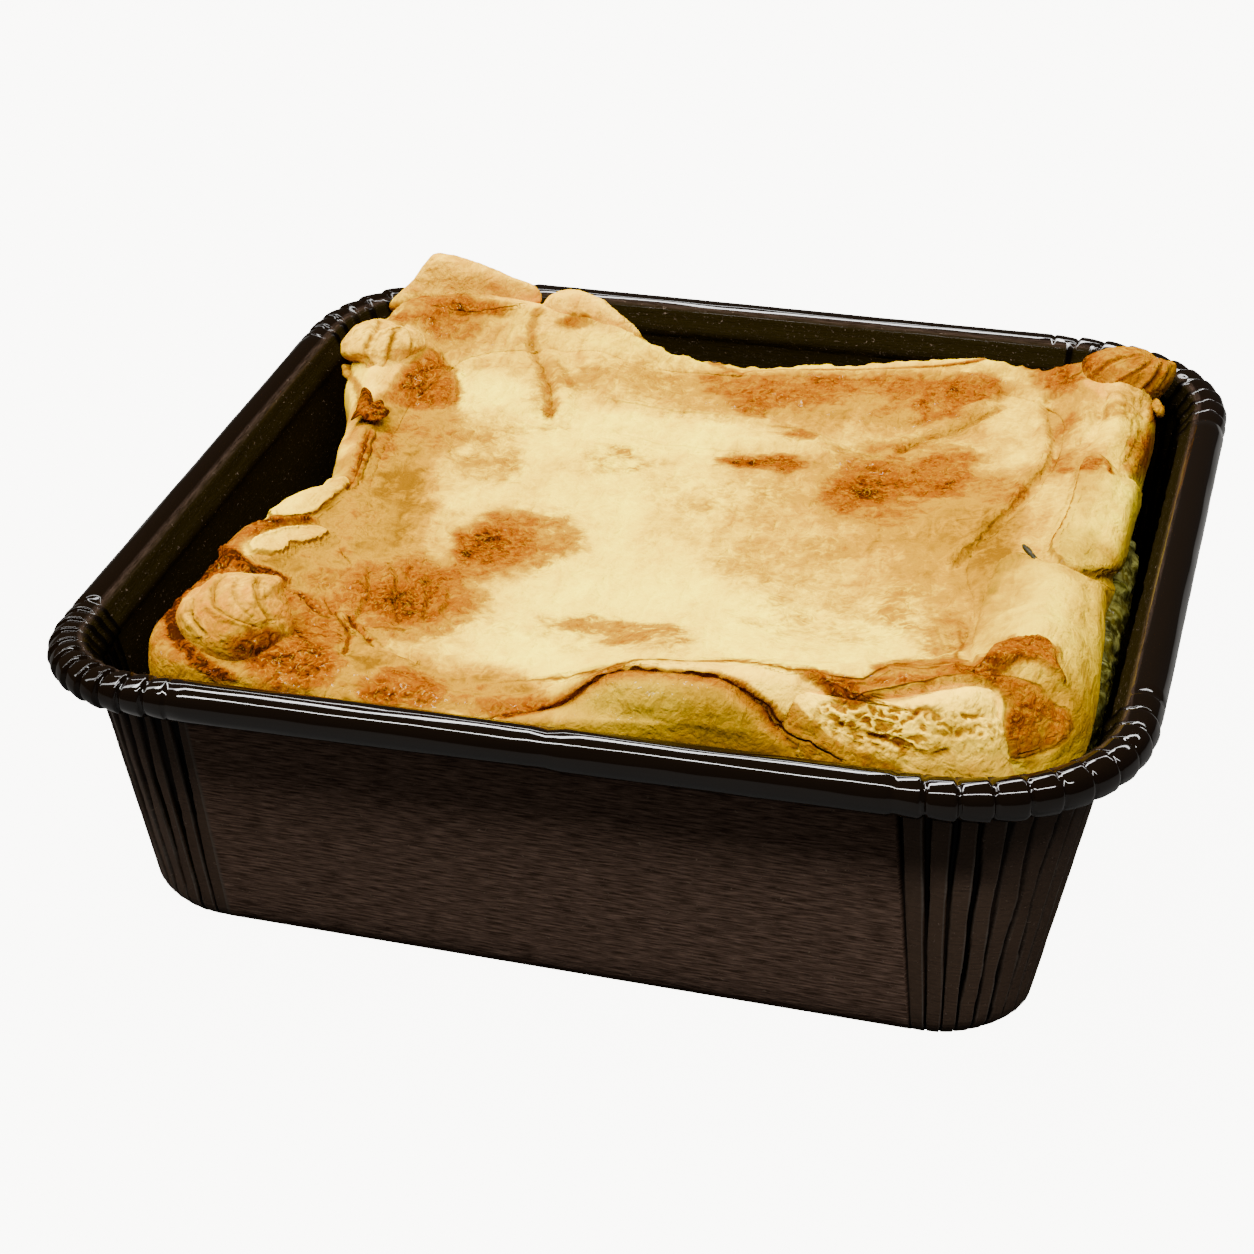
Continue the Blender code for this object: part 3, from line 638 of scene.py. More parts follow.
def relief(chart, points):
    """Height in millimetres of the folds, creases and blisters of the baked top."""
    jog = stray(points, 0.35, 2.6)
    rise = 0.42 * rough(points * (1.0, 1.0, 0.3), 17.0, 2) + 0.2 * rough(points, 5.0, 3)
    for line, height, width, shift, wander in (
        (SKIN_WAVE, 0.7, 2, (0, 0), 2), (SKIN_WAVE, -0.35, 1.2, (0.5, 2.6), 1), (REAR_CREASE, -0.6, 0.5,
        (0, 0), 1), (REAR_CREASE, 0.7, 1.3, (1.6, -1), 1), (LOBE_CREASE, -0.6, 0.8, (0, 0), 1), (LOBE_CREASE,
        0.8, 1.6, (-2.2, -0.6), 1), (CRACK_LINE, -0.7, 0.5, (0, 0), 0.3), (CRACK_LINE, 0.8, 1.1, (0.9, 1),
        1), (FOLD_LINE, 0.7, 1, (1.2, 0), 0.5), (FOLD_LINE, -0.6, 0.6, (-0.6, 0), 0.5), (SECOND_CRACK, -0.6,
        0.4, (0, 0), 1), (BROWN_CAP[9:] + BROWN_CAP[:1], -0.4, 0.5, (0, 0), 0), (NOTCH_LINE, 0.8, 1, (0, 0),
        0.6), (((52, 60), (53.5, 48), (53, 40)), 0.5, 1.5, (0, 0), 0), (((57.5, 56), (58.5, 46), (58, 36)),
        0.7, 1.8, (0, 0), 1), (((55, 58), (55.6, 48), (55, 40)), -0.6, 0.8, (0, 0), 1), (((46, 52),
        (46.5, 45), (46, 39)), -0.5, 0.7, (0, 0), 1), (((-50, 12), (-48, 0), (-46, -12), (-44, -24)), 0.6,
        2.2, (0, 0), 2), (LEFT_CREASE, -0.6, 0.6, (0, 0), 1), (BURNT_EDGE, 0.8, 1.2, (0, 0), 1),
        (KNOB_TOP_BAND, 0.5, 1, (0, 0), 1),
    ):
        rise += height * line_on(chart + shift, line, width, jog * wander)
    for outline, height, edge, wander in (
        (REAR_SWELL, 0.7, 2.4, 0), (TONGUE, 1.3, 0.7, 0.5), (SECOND_LOBE, 1.1, 1.1, 1), (BROWN_CAP, 1.1, 0.8,
        0.4), (PALE_FLAKE, 0.9, 0.7, 0.4), (LEFT_LOBE, 0.7, 1, 0.4), (FRONT_LOBE, -1.6, 1.2, 0),
        (FRONT_LAYERS, -1.2, 1.2, 0),
    ):
        rise += height * patch_on(chart, outline, edge, jog * wander)
    for line in (
        ((-22, 36), (-12, 33.5), (-2, 33), (6, 33.5)), ((4, 33), (12, 31.5), (17, 26), (24, 25)), SKIN_RIPPLE,
        ((-27, 27), (-20, 24.5), (-14, 25.5)), ((-12, 40), (-2, 38.5), (8, 37)),
    ):
        rise += 0.4 * line_on(chart, line, 1.0, jog * 2) - 0.25 * line_on(chart + (0.2, 1.7), line, 0.8, jog)
    for line in (
        SPOT_CREASE, ((-39, -30), (-37, -36), (-36, -43)), ((-30, -30), (-28.5, -36), (-27, -42)),
        ((-38, -44), (-33, -47), (-29, -47)), ((-34, -29), (-31, -33), (-30, -38)), ((-40, -36), (-36, -40),
        (-33, -41)), ((-26, -33), (-25, -39), (-23, -42)), ((-33.5, -41), (-29, -43.5), (-24, -44)),
    ):
        groove = line_on(chart, line, 0.45, jog * 2)
        rise += 0.4 * line_on(chart + (0.9, 0.3), line, 0.7, jog * 2) - 0.45 * groove
    for line in (
        RIGHT_CREASE, ((41.6, -25.9), (43.7, -32.6), (44.6, -37)), ((36, -22), (34, -30), (34.4, -38)),
        ((-44, 20), (-40, 10), (-39, 0)), ((-42, 30), (-36, 26), (-33, 18)), ((-20, -52), (-10, -50),
        (0, -47)), ((-30, -50), (-24, -52), (-16, -53)),
    ):
        rise += 0.3 * line_on(chart, line, 0.9, jog * 2)
    return rise


# Creases and cracks on the chart, closed or open, with the strength of each: each draws a dark line of
# painted shade, partly a fold's browned edge, and a step in the relief.
CREASES = (
    (CREST_LINE, False, 0.75), (NOTCH_LINE, False, 0.5), (FOLD_LINE[2:], False, 0.45), (TONGUE, True, 0.65),
    (SECOND_LOBE[:5], False, 0.6), (CRACK_LINE, False, 0.9), (SECOND_CRACK, False, 0.8), (BROWN_CAP, True,
    0.45), (PALE_FLAKE, True, 0.6), (LEFT_LOBE[3:], False, 0.7), (REAR_CREASE, False, 0.45), (LOBE_CREASE,
    False, 0.4), (WAVE_LINE, False, 0.9), (BROWN_END, True, 0.4), (REAR_LEFT_BROWN[:6], False, 0.5),
    (LEFT_CREASE, False, 0.7), (RIGHT_CREASE, False, 0.4), (((41.6, -25.9), (43.7, -32.6)), False, 0.3),
    (((-56.4, 65.4), (-52.6, 64.3), (-48.5, 66.8), (-45, 68.8)), False, 0.6), (((47.2, 55), (48.2, 60),
    (50.6, 65), (50.4, 71)), False, 0.5), (((53.8, 50), (54.4, 44), (53.6, 38)), False, 0.3), (((60.6, 50),
    (61, 42), (60.4, 34)), False, 0.3), (SPOT_CREASE, False, 0.5), (((-39.5, -31), (-37, -36), (-36.4, -42)),
    False, 0.4), (((-29.6, -30), (-28.5, -36), (-27.4, -41)), False, 0.4), (((-38, -45), (-33.4, -46.6),
    (-29, -46)), False, 0.4), (((-46, 47), (-44.6, 41), (-45.4, 36)), False, 0.25), (((4.5, 32), (12, 31),
    (17, 26), (24, 24.5)), False, 0.3), (((-22, 35.6), (-12, 33), (-2, 32.6)), False, 0.25), (SKIN_RIPPLE,
    False, 0.2), (((-58.3, -30.6), (-55, -33.3), (-51.5, -35)), False, 0.7),
)
CREASE_REACH = 1.2


def crease_marks(chart, creases, jitter):
    """Distance to the nearest crease, with its side as the sign, and how strong that crease is there."""
    flat = (chart + jitter).reshape(-1, 2)
    side = np.full(len(flat), CREASE_REACH)
    power = np.zeros(len(flat))
    for points, closed, strength in creases:
        line = drawn(points, closed)
        in_box = (flat > line.min(0) - CREASE_REACH) & (flat < line.max(0) + CREASE_REACH)
        near_by = np.nonzero(np.all(in_box, axis=1))[0]
        spots = flat[near_by]
        best = np.full(len(spots), CREASE_REACH)
        signed = best.copy()
        ends = np.zeros(len(spots))
        following = np.concatenate((line[1:], line[:1])) if closed else line[1:]
        last = len(following)
        for number, (a, b) in enumerate(zip(line, following)):
            run = b - a
            part = np.clip(((spots - a) @ run) / max(run @ run, 1e-9), 0.0, 1.0)
            away = spots - a - part[:, None] * run
            distance = np.hypot(away[:, 0], away[:, 1])
            nearer = distance < best
            best = np.where(nearer, distance, best)
            left_or_right = np.sign(run[0] * away[:, 1] - run[1] * away[:, 0])
            signed = np.where(nearer, distance * left_or_right, signed)
            along = (number + part) / last
            ends = np.where(nearer, 1.0 if closed else np.minimum(along, 1.0 - along), ends)
        found = strength * smooth((CREASE_REACH - best) / 0.4) * smooth(ends / 0.12)
        better = found > power[near_by]
        power[near_by] = np.where(better, found, power[near_by])
        side[near_by] = np.where(better, signed, side[near_by])
    return side.reshape(chart.shape[:-1]), power.reshape(chart.shape[:-1])


def browning(chart, points, creases=CREASES):
    """How far each place is baked, how yellow, how dry, how green and how wet it is, from 0 to 1."""
    jog = stray(points, 0.9, 5.0, 3, 0.6, (0.0, 60.0))
    fine = stray(points, 0.3, 1.6, shifts=(20.0, 90.0))
    cloud = rough(points * (1, 1, 0.4) + 9.0, 22.0, 3, 0.6)
    raw = np.full(chart.shape[:-1], 1.0)

    def bake(strength, mask):
        raw[...] *= 1.0 - strength * mask

    spots = (
        ((29, 18.5), (10.5, 14), -18, 0.42), ((24, 13.5), (5, 8.5), -8, 0.5), ((35, 22), (4.4, 7.5), -10,
        0.34), ((30, 4), (3.5, 5), 0, 0.2), ((19, 49), (21, 6.5), 17, 0.42), ((33, 50), (4.8, 9), -14, 0.5),
        ((27.5, 41), (6.5, 3.6), 10, 0.4), ((14, 50), (9, 2.6), 14, 0.35), ((4, 42), (6.5, 6), -30, 0.42),
        ((-4, 46.5), (3.5, 4.5), 0, 0.4), ((8.5, 19.2), (6.2, 3), 5, 0.66), ((6.5, 18.4), (3.5, 1.7), 0,
        0.35), ((12, 29.5), (3, 2), 0, 0.5), ((-24.5, -17.5), (5, 9.6), 6, 0.6), ((-25.5, -21), (3, 6), 6,
        0.4), ((-18, -16), (6, 9), 0, 0.3), ((-33, -36), (8.5, 12), 16, 0.42), ((-33, -35), (5.5, 8.5), 16,
        0.34), ((-27, -37), (6, 9), 0, 0.3), ((0, -38.8), (9, 3.4), 2, 0.22), ((-6, -41), (14, 5.5), 0,
        0.06), ((-13, 14), (6, 4.5), 0, 0.15), ((23, -6.5), (4, 3.6), 0, 0.2), ((12, 6), (4, 9), 0, 0.1),
        ((-37, 14), (7, 6), -40, 0.15), ((-31, 6), (5, 4.5), -40, 0.15), ((-26.7, 43), (3, 5.5), 0, 0.2),
        ((-34, 65), (3, 2.8), 0, 0.42), ((-54, 60), (5, 9), 12, 0.55), ((-56, 67), (10, 4), 0, 0.5),
        ((44, 18), (4, 6), 0, 0.3), ((44, -29), (3.4, 9), 0, 0.22), ((26, -28), (11, 9), 0, 0.09),
        ((52.2, 30), (1.9, 4.2), 0, 0.45), ((50.5, 44), (2, 7), 0, 0.3), ((-39, -60.5), (6, 7), 0, 0.5),
        ((-24, -62), (5.2, 5.4), 0, 0.55), ((-46, -18), (6, 10), 0, 0.18), ((-47, 16), (6, 12), 0, 0.22),
        ((57, 29), (1.7, 3.2), 0, 0.55), ((46.5, 62.5), (4.5, 7), 30, 0.55), ((64.3, 52), (1.4, 3.6), 0,
        0.6), ((63.5, 37), (2.2, 8), 0, 0.5), ((-8, -63), (6, 3.4), 35, 0.5), ((-50, 3), (3, 14), 4, 0.25),
        ((-36, 22), (10, 5), 0, 0.08), ((-5, 42), (14, 10), 0, 0.1), ((-17, 47), (8, 9), 0, 0.12),
        ((-30, 36), (3.5, 12), 14, 0.14), ((38, -14), (6, 14), 0, 0.12), ((58, 54), (6, 7), 0, 0.18),
        ((15, -14), (10, 8), 0, 0.1), ((2, 6), (9, 7), 0, 0.08), ((-46, -30), (6, 6), 0, 0.2), ((-52.4, 38),
        (2.6, 8), 6, 0.55), ((-50, 31), (5, 6), 6, 0.3), ((57.5, -49), (2.4, 5), 10, 0.4), ((33, -47.5),
        (3.4, 2.4), -30, 0.5), ((40, -42.5), (4.5, 1.8), 25, 0.4), ((-41, -54), (6, 12), 8, 0.42),
        ((-60, -55), (6, 13), 0, 0.3), ((-44, -38), (5, 7), -30, 0.22), ((-47, -52), (7, 12), 0, 0.3),
        ((-20, -61.5), (12, 3.4), 3, 0.3), ((-40, -62), (6, 4), 0, 0.35), ((48, 66), (3, 6), 20, 0.4),
        ((-61, 60), (3.6, 3), 0, 0.5), ((54, -32), (3, 3), 0, 0.25), ((57, -31), (1.6, 2), 0, 0.3),
        ((-40, -50), (5, 7), 0, 0.24),
    )
    ragged = 0.3 * rough(points + 3.0, 4.5, 3, 0.65) + 0.12 * rough(points + 70.0, 1.3, 2)
    halo = np.zeros(chart.shape[:-1])
    for centre, half, turn, strength in spots:
        bake(strength, spot_on(chart, centre, half, turn, jog * 1.4, 1.25 - 0.5 * strength))
        glow = spot_on(chart, centre, (half[0] + 3.0, half[1] + 3.5), turn, jog * 2, 1.3)
        halo = np.maximum(halo, strength * glow)
    raw[...] = np.clip(raw + ragged * 1.6 * raw * (1.0 - raw) * 2.0, 0.0, 1.0)
    broken = 0.75 + 0.45 * rough(points + 30.0, 5.0, 3)
    # Brown lines along the crust's crests, folds and edges; the darkest, along the cracks and the left
    # crease, are painted shade.
    for line, width, strength in (
        (CREST_LINE[:-5], 0.8, 0.3), (CREST_LINE[-6:], 1.3, 0.45), (WAVE_LINE[:6], 1.3, 0.7),
        (WAVE_LINE[4:12], 0.7, 0.5), (WAVE_LINE[10:], 1.3, 0.6), (NOTCH_LINE[:3], 1.6, 0.75), (((34.2, -50),
        (37.2, -45.4), (41, -42.6), (45, -40.2), (49, -39.2), (52, -39.6)), 1.9, 0.72), (FOLD_LINE[4:9], 1.0,
        0.3), (FOLD_LINE[:3], 1.2, 0.25), (REAR_CREASE, 1.1, 0.3), (((-41, 68), (-40.4, 62), (-38.5, 54)) +
        LOBE_CREASE[2:], 1.0, 0.3), (CRACK_LINE[:9], 0.6, 0.85), (BURNT_EDGE, 1.7, 0.93), (KNOB_RING, 1.2,
        0.95), (KNOB_TOP_BAND, 1.5, 0.9), (CRACK_LINE[1:5], 0.3, 0.6), (CRACK_LINE[5:11], 0.6, 0.88),
        (SECOND_CRACK, 0.3, 0.75), (((-54, 16), (-52.5, 8), (-51, 0), (-50.6, -5)), 0.7, 0.7), (((-65, 38),
        (-63, 34), (-60.5, 30), (-57, 20)), 0.7, 0.45), (((55.2, 27), (55.1, 18), (55, 10), (54.2, 2)), 0.28,
        0.6), (((55.4, 27), (55.9, 30.8), (57.2, 32), (58.4, 30.6), (59.3, 26)), 0.35, 0.75), (((-2, 51.5),
        (10, 55.5), (20, 58.5), (30, 63), (36, 68)), 0.5, 0.6), (((46, -30), (46.3, -37.6)), 0.4, 0.35),
        (((-23, 62), (-16.7, 58.6), (-12, 56), (-3, 51)), 0.6, 0.45), (((50.2, -3), (53, -4.2), (57, -6.2),
        (61, -8.6)), 0.3, 0.35),
    ):
        bake(np.clip(strength * broken, 0.0, 0.97), line_on(chart, line, width, fine))
    bake(0.5, patch_on(chart, REAR_LEFT_BROWN, 3.5, jog * 1.2))
    bake(0.6, patch_on(chart, BROWN_CAP, 1.4, jog * 0.5))
    bake(0.5, patch_on(chart, BROWN_END, 1.6, jog * 0.6))
    bake(0.88, patch_on(chart, BURNT_CORNER, 1.0, jog * 0.7))
    bake(0.8, patch_on(chart, BURNT_BAND, 0.9, jog * 0.7))
    paler = np.maximum(patch_on(chart, PALE_FLAKE, 0.5, fine), patch_on(chart, LEFT_LOBE, 0.6, fine))
    baked = (1.0 - raw) * (1.0 - 0.8 * paler)
    drawn_out = chart[..., :1] * (1.0, 0.0, 0.0) + chart[..., 1:] * (0.0, 0.45, 0.0)
    mottle = 0.22 * rough(drawn_out, 9.0, 3, 0.6) + 0.1 * rough(points + 11.0, 2.6, 3, 0.6)
    yellow = 0.3 + 0.14 * cloud + mottle
    for centre, half, strength in (
        ((-46, -22), (10, 21), 0.97), ((-48, 6), (7, 23), 0.92), ((-52, 20), (7, 10), 0.85), ((-45, -48),
        (11, 16), 0.97), ((-58, -58), (8, 14), 0.97), ((-32, -61), (24, 6), 0.97), ((-36, -38), (13, 15),
        0.75), ((-42, -8), (7, 14), 0.6), ((-20, -22), (10, 10), 0.3), ((53, 24), (6, 26), 0.5), ((-30, 48),
        (16, 12), 0.3), ((-5, 42), (22, 11), 0.4), ((30, 46), (16, 15), 0.45), ((-26, -52), (12, 8), 0.4),
        ((-12, -60), (9, 6), 0.6), ((-50, 56), (14, 14), 0.3), ((48, 8), (6, 16), 0.4), ((36, 10), (12, 26),
        0.4), ((50, 60), (10, 14), 0.45), ((-38, 10), (9, 16), 0.3), ((61, -54), (6, 12), 0.5), ((30, -6),
        (18, 30), 0.45), ((12, 8), (10, 20), 0.25), ((20, 44), (26, 12), 0.4), ((49, -16), (5, 24), 0.6),
        ((60, -10), (5, 14), 0.4), ((42, 0), (6, 24), 0.45), ((58, -40), (5, 10), 0.4),
    ):
        yellow = yellow + strength * (1.0 - yellow) * spot_on(chart, centre, half, 0, jog * 2, 1.2)
    for centre, half, strength in (
        ((-40, 34), (8, 7), 0.7), ((6, -30), (24, 9), 0.65), ((-8, -48), (18, 5), 0.5), ((55, -20), (5, 10),
        0.3), ((-8, 28), (22, 3.5), 0.4), ((36, -30), (5, 12), 0.45), ((-14, 4), (12, 12), 0.25), ((42, 52),
        (4, 12), 0.4), ((57, 44), (5, 10), 0.35), ((-20, 22), (12, 8), 0.35), ((52, 12), (3, 14), 0.3),
        ((30, 32), (6, 3), 0.4),
    ):
        yellow = yellow * (1.0 - strength * spot_on(chart, centre, half, 0, jog * 2, 1.2))
    yellow = (yellow + 0.55 * halo * (1.0 - yellow)) * (1.0 - 0.4 * paler)
    dry = np.zeros_like(raw)
    for outline, edge, strength in (
        (KNOB_FRONT_LEFT, 0.9, 1.0), (PALE_FLAKE, 0.7, 0.55), (LEFT_LOBE, 0.8, 0.35), (KNOB_REAR_LEFT, 1.0,
        0.85), (((-66, 89), (-60, 87), (-50, 82), (-43, 76), (-41, 69), (-50, 66), (-60, 65), (-66, 66)),
        3.0, 0.75), (((-42, 70), (-40, 77), (-36, 78), (-26, 69), (-24, 63), (-34, 61), (-40, 60)), 3.0,
        0.5), (((50.5, 76), (50.8, 62), (53, 58), (60, 52), (64, 50), (66, 58), (64, 76)), 1.2, 0.95),
        (((36, 66), (30, 62), (12, 56), (-2, 51.5), (-2, 52.6), (12, 57.5), (30, 65), (37, 72), (42, 68)),
        0.8, 0.6), (((2, -49.5), (6, -46.8), (14, -45), (24, -44.4), (29, -45.6), (33.5, -50), (36, -49),
        (44, -43), (50, -41), (53.5, -44), (55, -52), (56, -62), (52, -68), (38, -68), (30, -62), (24, -54),
        (18, -48.6), (10, -47.9)), 0.8, 0.9), (((-57.5, 22), (-54.4, 16), (-52, 2), (-51.2, -4), (-57, -4),
        (-61, 20)), 1.2, 0.3),
    ):
        dry = np.maximum(dry, strength * patch_on(chart, outline, edge, fine))
    soaked = ((-1, -50), (6, -48.6), (13, -48.6), (17, -52), (16, -60), (13, -68), (-3, -68))
    cloudy = patch_on(chart, soaked, 3.0, jog)
    green = 0.62 * cloudy
    for outline, edge, strength in (
        (((55.4, 5), (60, 6), (62, 0), (60.5, -7), (56.6, -5.4), (55, -2)), 2.0, 0.5), (SECOND_LOBE, 5.0,
        0.2), (TONGUE, 2.0, 0.22), (((-67, 38), (-62, 30), (-57, 10), (-52.5, -3), (-58, -4), (-64, 14),
        (-72, 36)), 2.0, 0.5), (((62.6, 46), (62.8, 10), (63.2, -10), (65, -32), (66.4, -46), (65, -60),
        (70, -66), (76, 0), (70, 46)), 1.2, 0.85),
    ):
        green = np.maximum(green, strength * patch_on(chart, outline, edge, jog))
    wet = np.clip(0.3 + 0.6 * cloudy + 0.9 * (baked - 0.15) + 0.5 * (yellow - 0.4) - 0.7 * dry, 0.0, 1.0)
    side, power = crease_marks(chart, creases, fine + 0.25 * jog)
    power = power * np.clip(0.85 + 0.5 * rough(points + 44.0, 3.5, 2), 0.0, 1.0)
    return {
        "baked": np.clip(baked, 0, 1), "yellow": np.clip(yellow, 0, 1), "dry": dry, "green": green,
        "wet": wet, "side": side, "crease": power,
    }


def baked_group():
    """Shader group of all that this oven baked: colour by how far it is baked, and a fine skin."""
    group = bpy.data.node_groups.new("oven_baked", "ShaderNodeTree")
    for name in ("Baked", "Yellow", "Dry", "Green", "Wet", "Blister", "Side", "Crease"):
        group.interface.new_socket(name, in_out="INPUT", socket_type="NodeSocketFloat")
    group.interface.new_socket("Colour", in_out="OUTPUT", socket_type="NodeSocketColor")
    for name in ("Coat", "Height"):
        group.interface.new_socket(name, in_out="OUTPUT", socket_type="NodeSocketFloat")
    given = group.nodes.new("NodeGroupInput").outputs
    at = add(group, "TexCoord").outputs["Object"]
    wide_noise = noise(group, at, 190.0, 4.0, 0.6)
    worms = noise(group, at, 620.0, 2.0, distortion=1.6)
    tiny = noise(group, at, 1500.0, 2.0, 0.6)
    pits = add(group, "TexVoronoi", {"feature": "F1"}, Vector=at, Scale=330.0, Randomness=1.0).outputs[0]
    uneven = plus(group, times(group, minus(group, worms, 0.5), 0.75),
                  times(group, minus(group, wide_noise, 0.5), 0.55))
    shake = times(group, uneven, plus(group, 0.1, times(group, given["Baked"], 2.0)))
    level_baked = plus(group, given["Baked"], shake, True)
    wrinkles = noise(group, stretched(group, at, (1.0, 0.38, 1.0), 0.5), 420.0, 3.0, 0.55, 0.9)
    streaks = times(group, minus(group, wrinkles, 0.46), 0.55)
    soft = plus(group, given["Yellow"], plus(group, times(group, uneven, 0.5), streaks), True)
    colour = blend(group, between(group, soft, 0.0, 0.4), (0.98, 0.74, 0.0), (0.74, 0.46, 0.0))
    colour = blend(group, between(group, soft, 0.4, 0.75), colour, (0.375, 0.172, 0.0))
    colour = blend(group, between(group, soft, 0.75, 1.0), colour, (0.15, 0.06, 0.0))
    dough = blend(group, soft, (1.0, 0.63, 0.02), (0.43, 0.135, 0.0))
    colour = blend(group, given["Dry"], colour, dough)
    murky = blend(group, between(group, worms, 0.35, 0.65), (0.19, 0.12, 0.0), (0.46, 0.32, 0.003))
    colour = blend(group, given["Green"], colour, murky)
    for low, high, tone in (
        (0.04, 0.2, (0.32, 0.15, 0.0)), (0.2, 0.42, (0.215, 0.072, 0.0)), (0.42, 0.64, (0.17, 0.04, 0.0)),
        (0.64, 0.86, (0.095, 0.018, 0.0)), (0.88, 0.98, (0.03, 0.006, 0.0005)),
    ):
        colour = blend(group, between(group, level_baked, low, high), colour, tone)
    # Painted glints: pale specks in the colour of the browned spots stand for tiny highlights.
    glint_noise = noise(group, at, 980.0, 1.0, distortion=2.2)
    flecks = times(group, between(group, glint_noise, 0.54, 0.68), between(group, given["Baked"], 0.3, 0.6))
    flecks = times(group, flecks, between(group, given["Baked"], 0.97, 0.85))
    colour = blend(group, times(group, flecks, 0.45), colour, (0.36, 0.16, 0.0))
    # Painted shade: a dark line along each crease and crack, partly the browned edge of a fold.
    from_crease = sums(group, "ABSOLUTE", given["Side"], 0.0)
    crease = times(group, between(group, from_crease, 0.34, 0.08), given["Crease"])
    colour = blend(group, crease, colour, (0.075, 0.013, 0.0))
    out = group.nodes.new("NodeGroupOutput")
    group.links.new(colour, out.inputs["Colour"])
    glints = times(group, between(group, glint_noise, 0.62, 0.7), 0.3)
    group.links.new(times(group, given["Wet"], glints), out.inputs["Coat"])
    blisters = times(group, worms, plus(group, 0.35, times(group, given["Baked"], 1.5)))
    blisters = times(group, blisters, given["Blister"])
    skin = plus(group, blisters, times(group, tiny, 0.22))
    skin = plus(group, skin, times(group, wide_noise, 0.8))
    skin = minus(group, skin, times(group, between(group, pits, 0.3, 0.0), 0.16))
    skin = plus(group, skin, times(group, wrinkles, 0.9))
    step = times(group, between(group, given["Side"], -0.25, 0.3), given["Crease"])
    skin = plus(group, skin, times(group, step, 0.9))
    skin = minus(group, skin, times(group, crease, 0.8))
    group.links.new(skin, out.inputs["Height"])
    return group


def baked_material(name, blister):
    """A matt, dry material of the oven's group, with more or less blistering."""
    material, tree, shader = new_material(
        name, Roughness=0.7, Specular_IOR_Level=0.0, Coat_Roughness=0.14, Coat_IOR=1.4)
    oven = tree.nodes.new("ShaderNodeGroup")
    oven.node_tree = oven_baked
    for mark in ("Baked", "Yellow", "Dry", "Green", "Wet", "Side", "Crease"):
        tree.links.new(mark_of(tree, mark.lower()), oven.inputs[mark])
    oven.inputs["Blister"].default_value = blister
    tree.links.new(oven.outputs["Colour"], shader.inputs["Base Color"])
    tree.links.new(oven.outputs["Coat"], shader.inputs["Coat Weight"])
    bumped(tree, shader, oven.outputs["Height"], 0.9, 0.0007)
    return material


oven_baked = baked_group()

# Pastry case: one sheet of puff pastry pressed into the tray under the filling. Its rim is folded
# in over the custard, thick and puffed in the corners and thin along the rear and left sides.
CASE_COLUMNS = 880
LIP_REACH = 0.45
CASE_FOOT, CASE_FLOOR = 0.95, 3.2
SHOULDER_DROP, SHOULDER_TOP = 3.2, 41.9
CASE_SPANS = (2, 3, 4, 6, 8, 9, 12, 14, 15, 12, 3, 3, 3, 2, 2, 2)
STRAIGHT_SPANS = (0, 1, 10, 11, 15)
SPAN_OF_EDGE, SPAN_OF_LIP = 7, 10
CASE_ROWS = sum(CASE_SPANS)
case_mesh, case_places, wide, tall = blank_sheet(CASE_COLUMNS, CASE_ROWS)
angles = wide[0] * 360.0 - 180.0
outer, crest, inset, width = crust_edge(angles)
step = np.interp(angles, LIP_STEP[:, 0], LIP_STEP[:, 1])
shoulder = np.minimum(crest - SHOULDER_DROP, SHOULDER_TOP)
lip = outer - width
lip_height = skin_height(angles, lip) + step
none = np.zeros_like(outer)
# The sheet's section, as reach and height: from under its middle out to its side, up over the lip,
# and down inside to the floor of the case.
knots = np.array([
    (none, none + CASE_FOOT), (outer * 0.8, none + CASE_FOOT), (outer * 0.855, none + 1.05),
    (outer * 0.89, none + 3.4), (outer * 0.925, none + 14.0), (outer * 0.975, none + 29.0), (outer, shoulder),
    (outer - inset * 0.4, crest - (crest - shoulder) * 0.22), (outer - inset, crest),
    (outer - inset - (width - inset) * 0.45, crest - (crest - lip_height) * 0.45),
    (lip - LIP_REACH, lip_height), (lip - LIP_REACH + 0.25, lip_height - 0.7), (lip - 0.2, lip_height - 3.5),
    (lip * 0.93, none + 20.0), (lip * 0.9, none + 4.7), (lip * 0.84, none + CASE_FLOOR),
    (none, none + CASE_FLOOR),
])
padded = np.concatenate((knots[:1], knots, knots[-1:]))
rows_of_case = []
for span, count in enumerate(CASE_SPANS):
    p, q, r, s = padded[span:span + 4]
    for t in np.arange(count) / count:
        rows_of_case.append(q + (r - q) * t if span in STRAIGHT_SPANS else bend(p, q, r, s, t))
rows_of_case.append(knots[-1])
case_section = np.maximum(np.array(rows_of_case), 0.0)
turn = np.radians(angles)[None, :]
reach, level = case_section[:, 0], case_section[:, 1]
case_points = np.stack((reach * np.cos(turn), reach * np.sin(turn), level), -1)
case_chart = on_chart(case_points)
case_marks = browning(case_chart, case_points)
case_lift = relief(case_chart, case_points)
low = 1.0 - smooth((case_points[..., 2] - 30.0) / 9.0)
visible = smooth((case_points[..., 2] - 2.0) / 6.0)
case_lift = case_lift * (1.0 - low) + low * 0.5 * rough(case_points * (1, 1, 0.45), 8.0, 3)
case_lift += 0.5 * rough(case_points, 1.3, 2) * smooth((case_marks["baked"] - 0.6) / 0.15)
row = np.arange(CASE_ROWS + 1)[:, None]
at_edge = np.exp(-((row - sum(CASE_SPANS[:SPAN_OF_EDGE])) / 7.0) ** 2)
case_lift += at_edge * smooth((case_chart[..., 1] - 45.0) / 6.0) * 0.7 * rough(case_points, 2.2, 3)
inner_row = row > sum(CASE_SPANS[:SPAN_OF_LIP])
case_lift = np.where(inner_row, 0.0, case_lift)
case_points = case_points + outward(case_points) * (case_lift * visible)[..., None]
side_shade = low * (1.0 - inner_row)
side_baked = side_shade * (0.3 + 0.15 * rough(case_points, 9.0, 2))
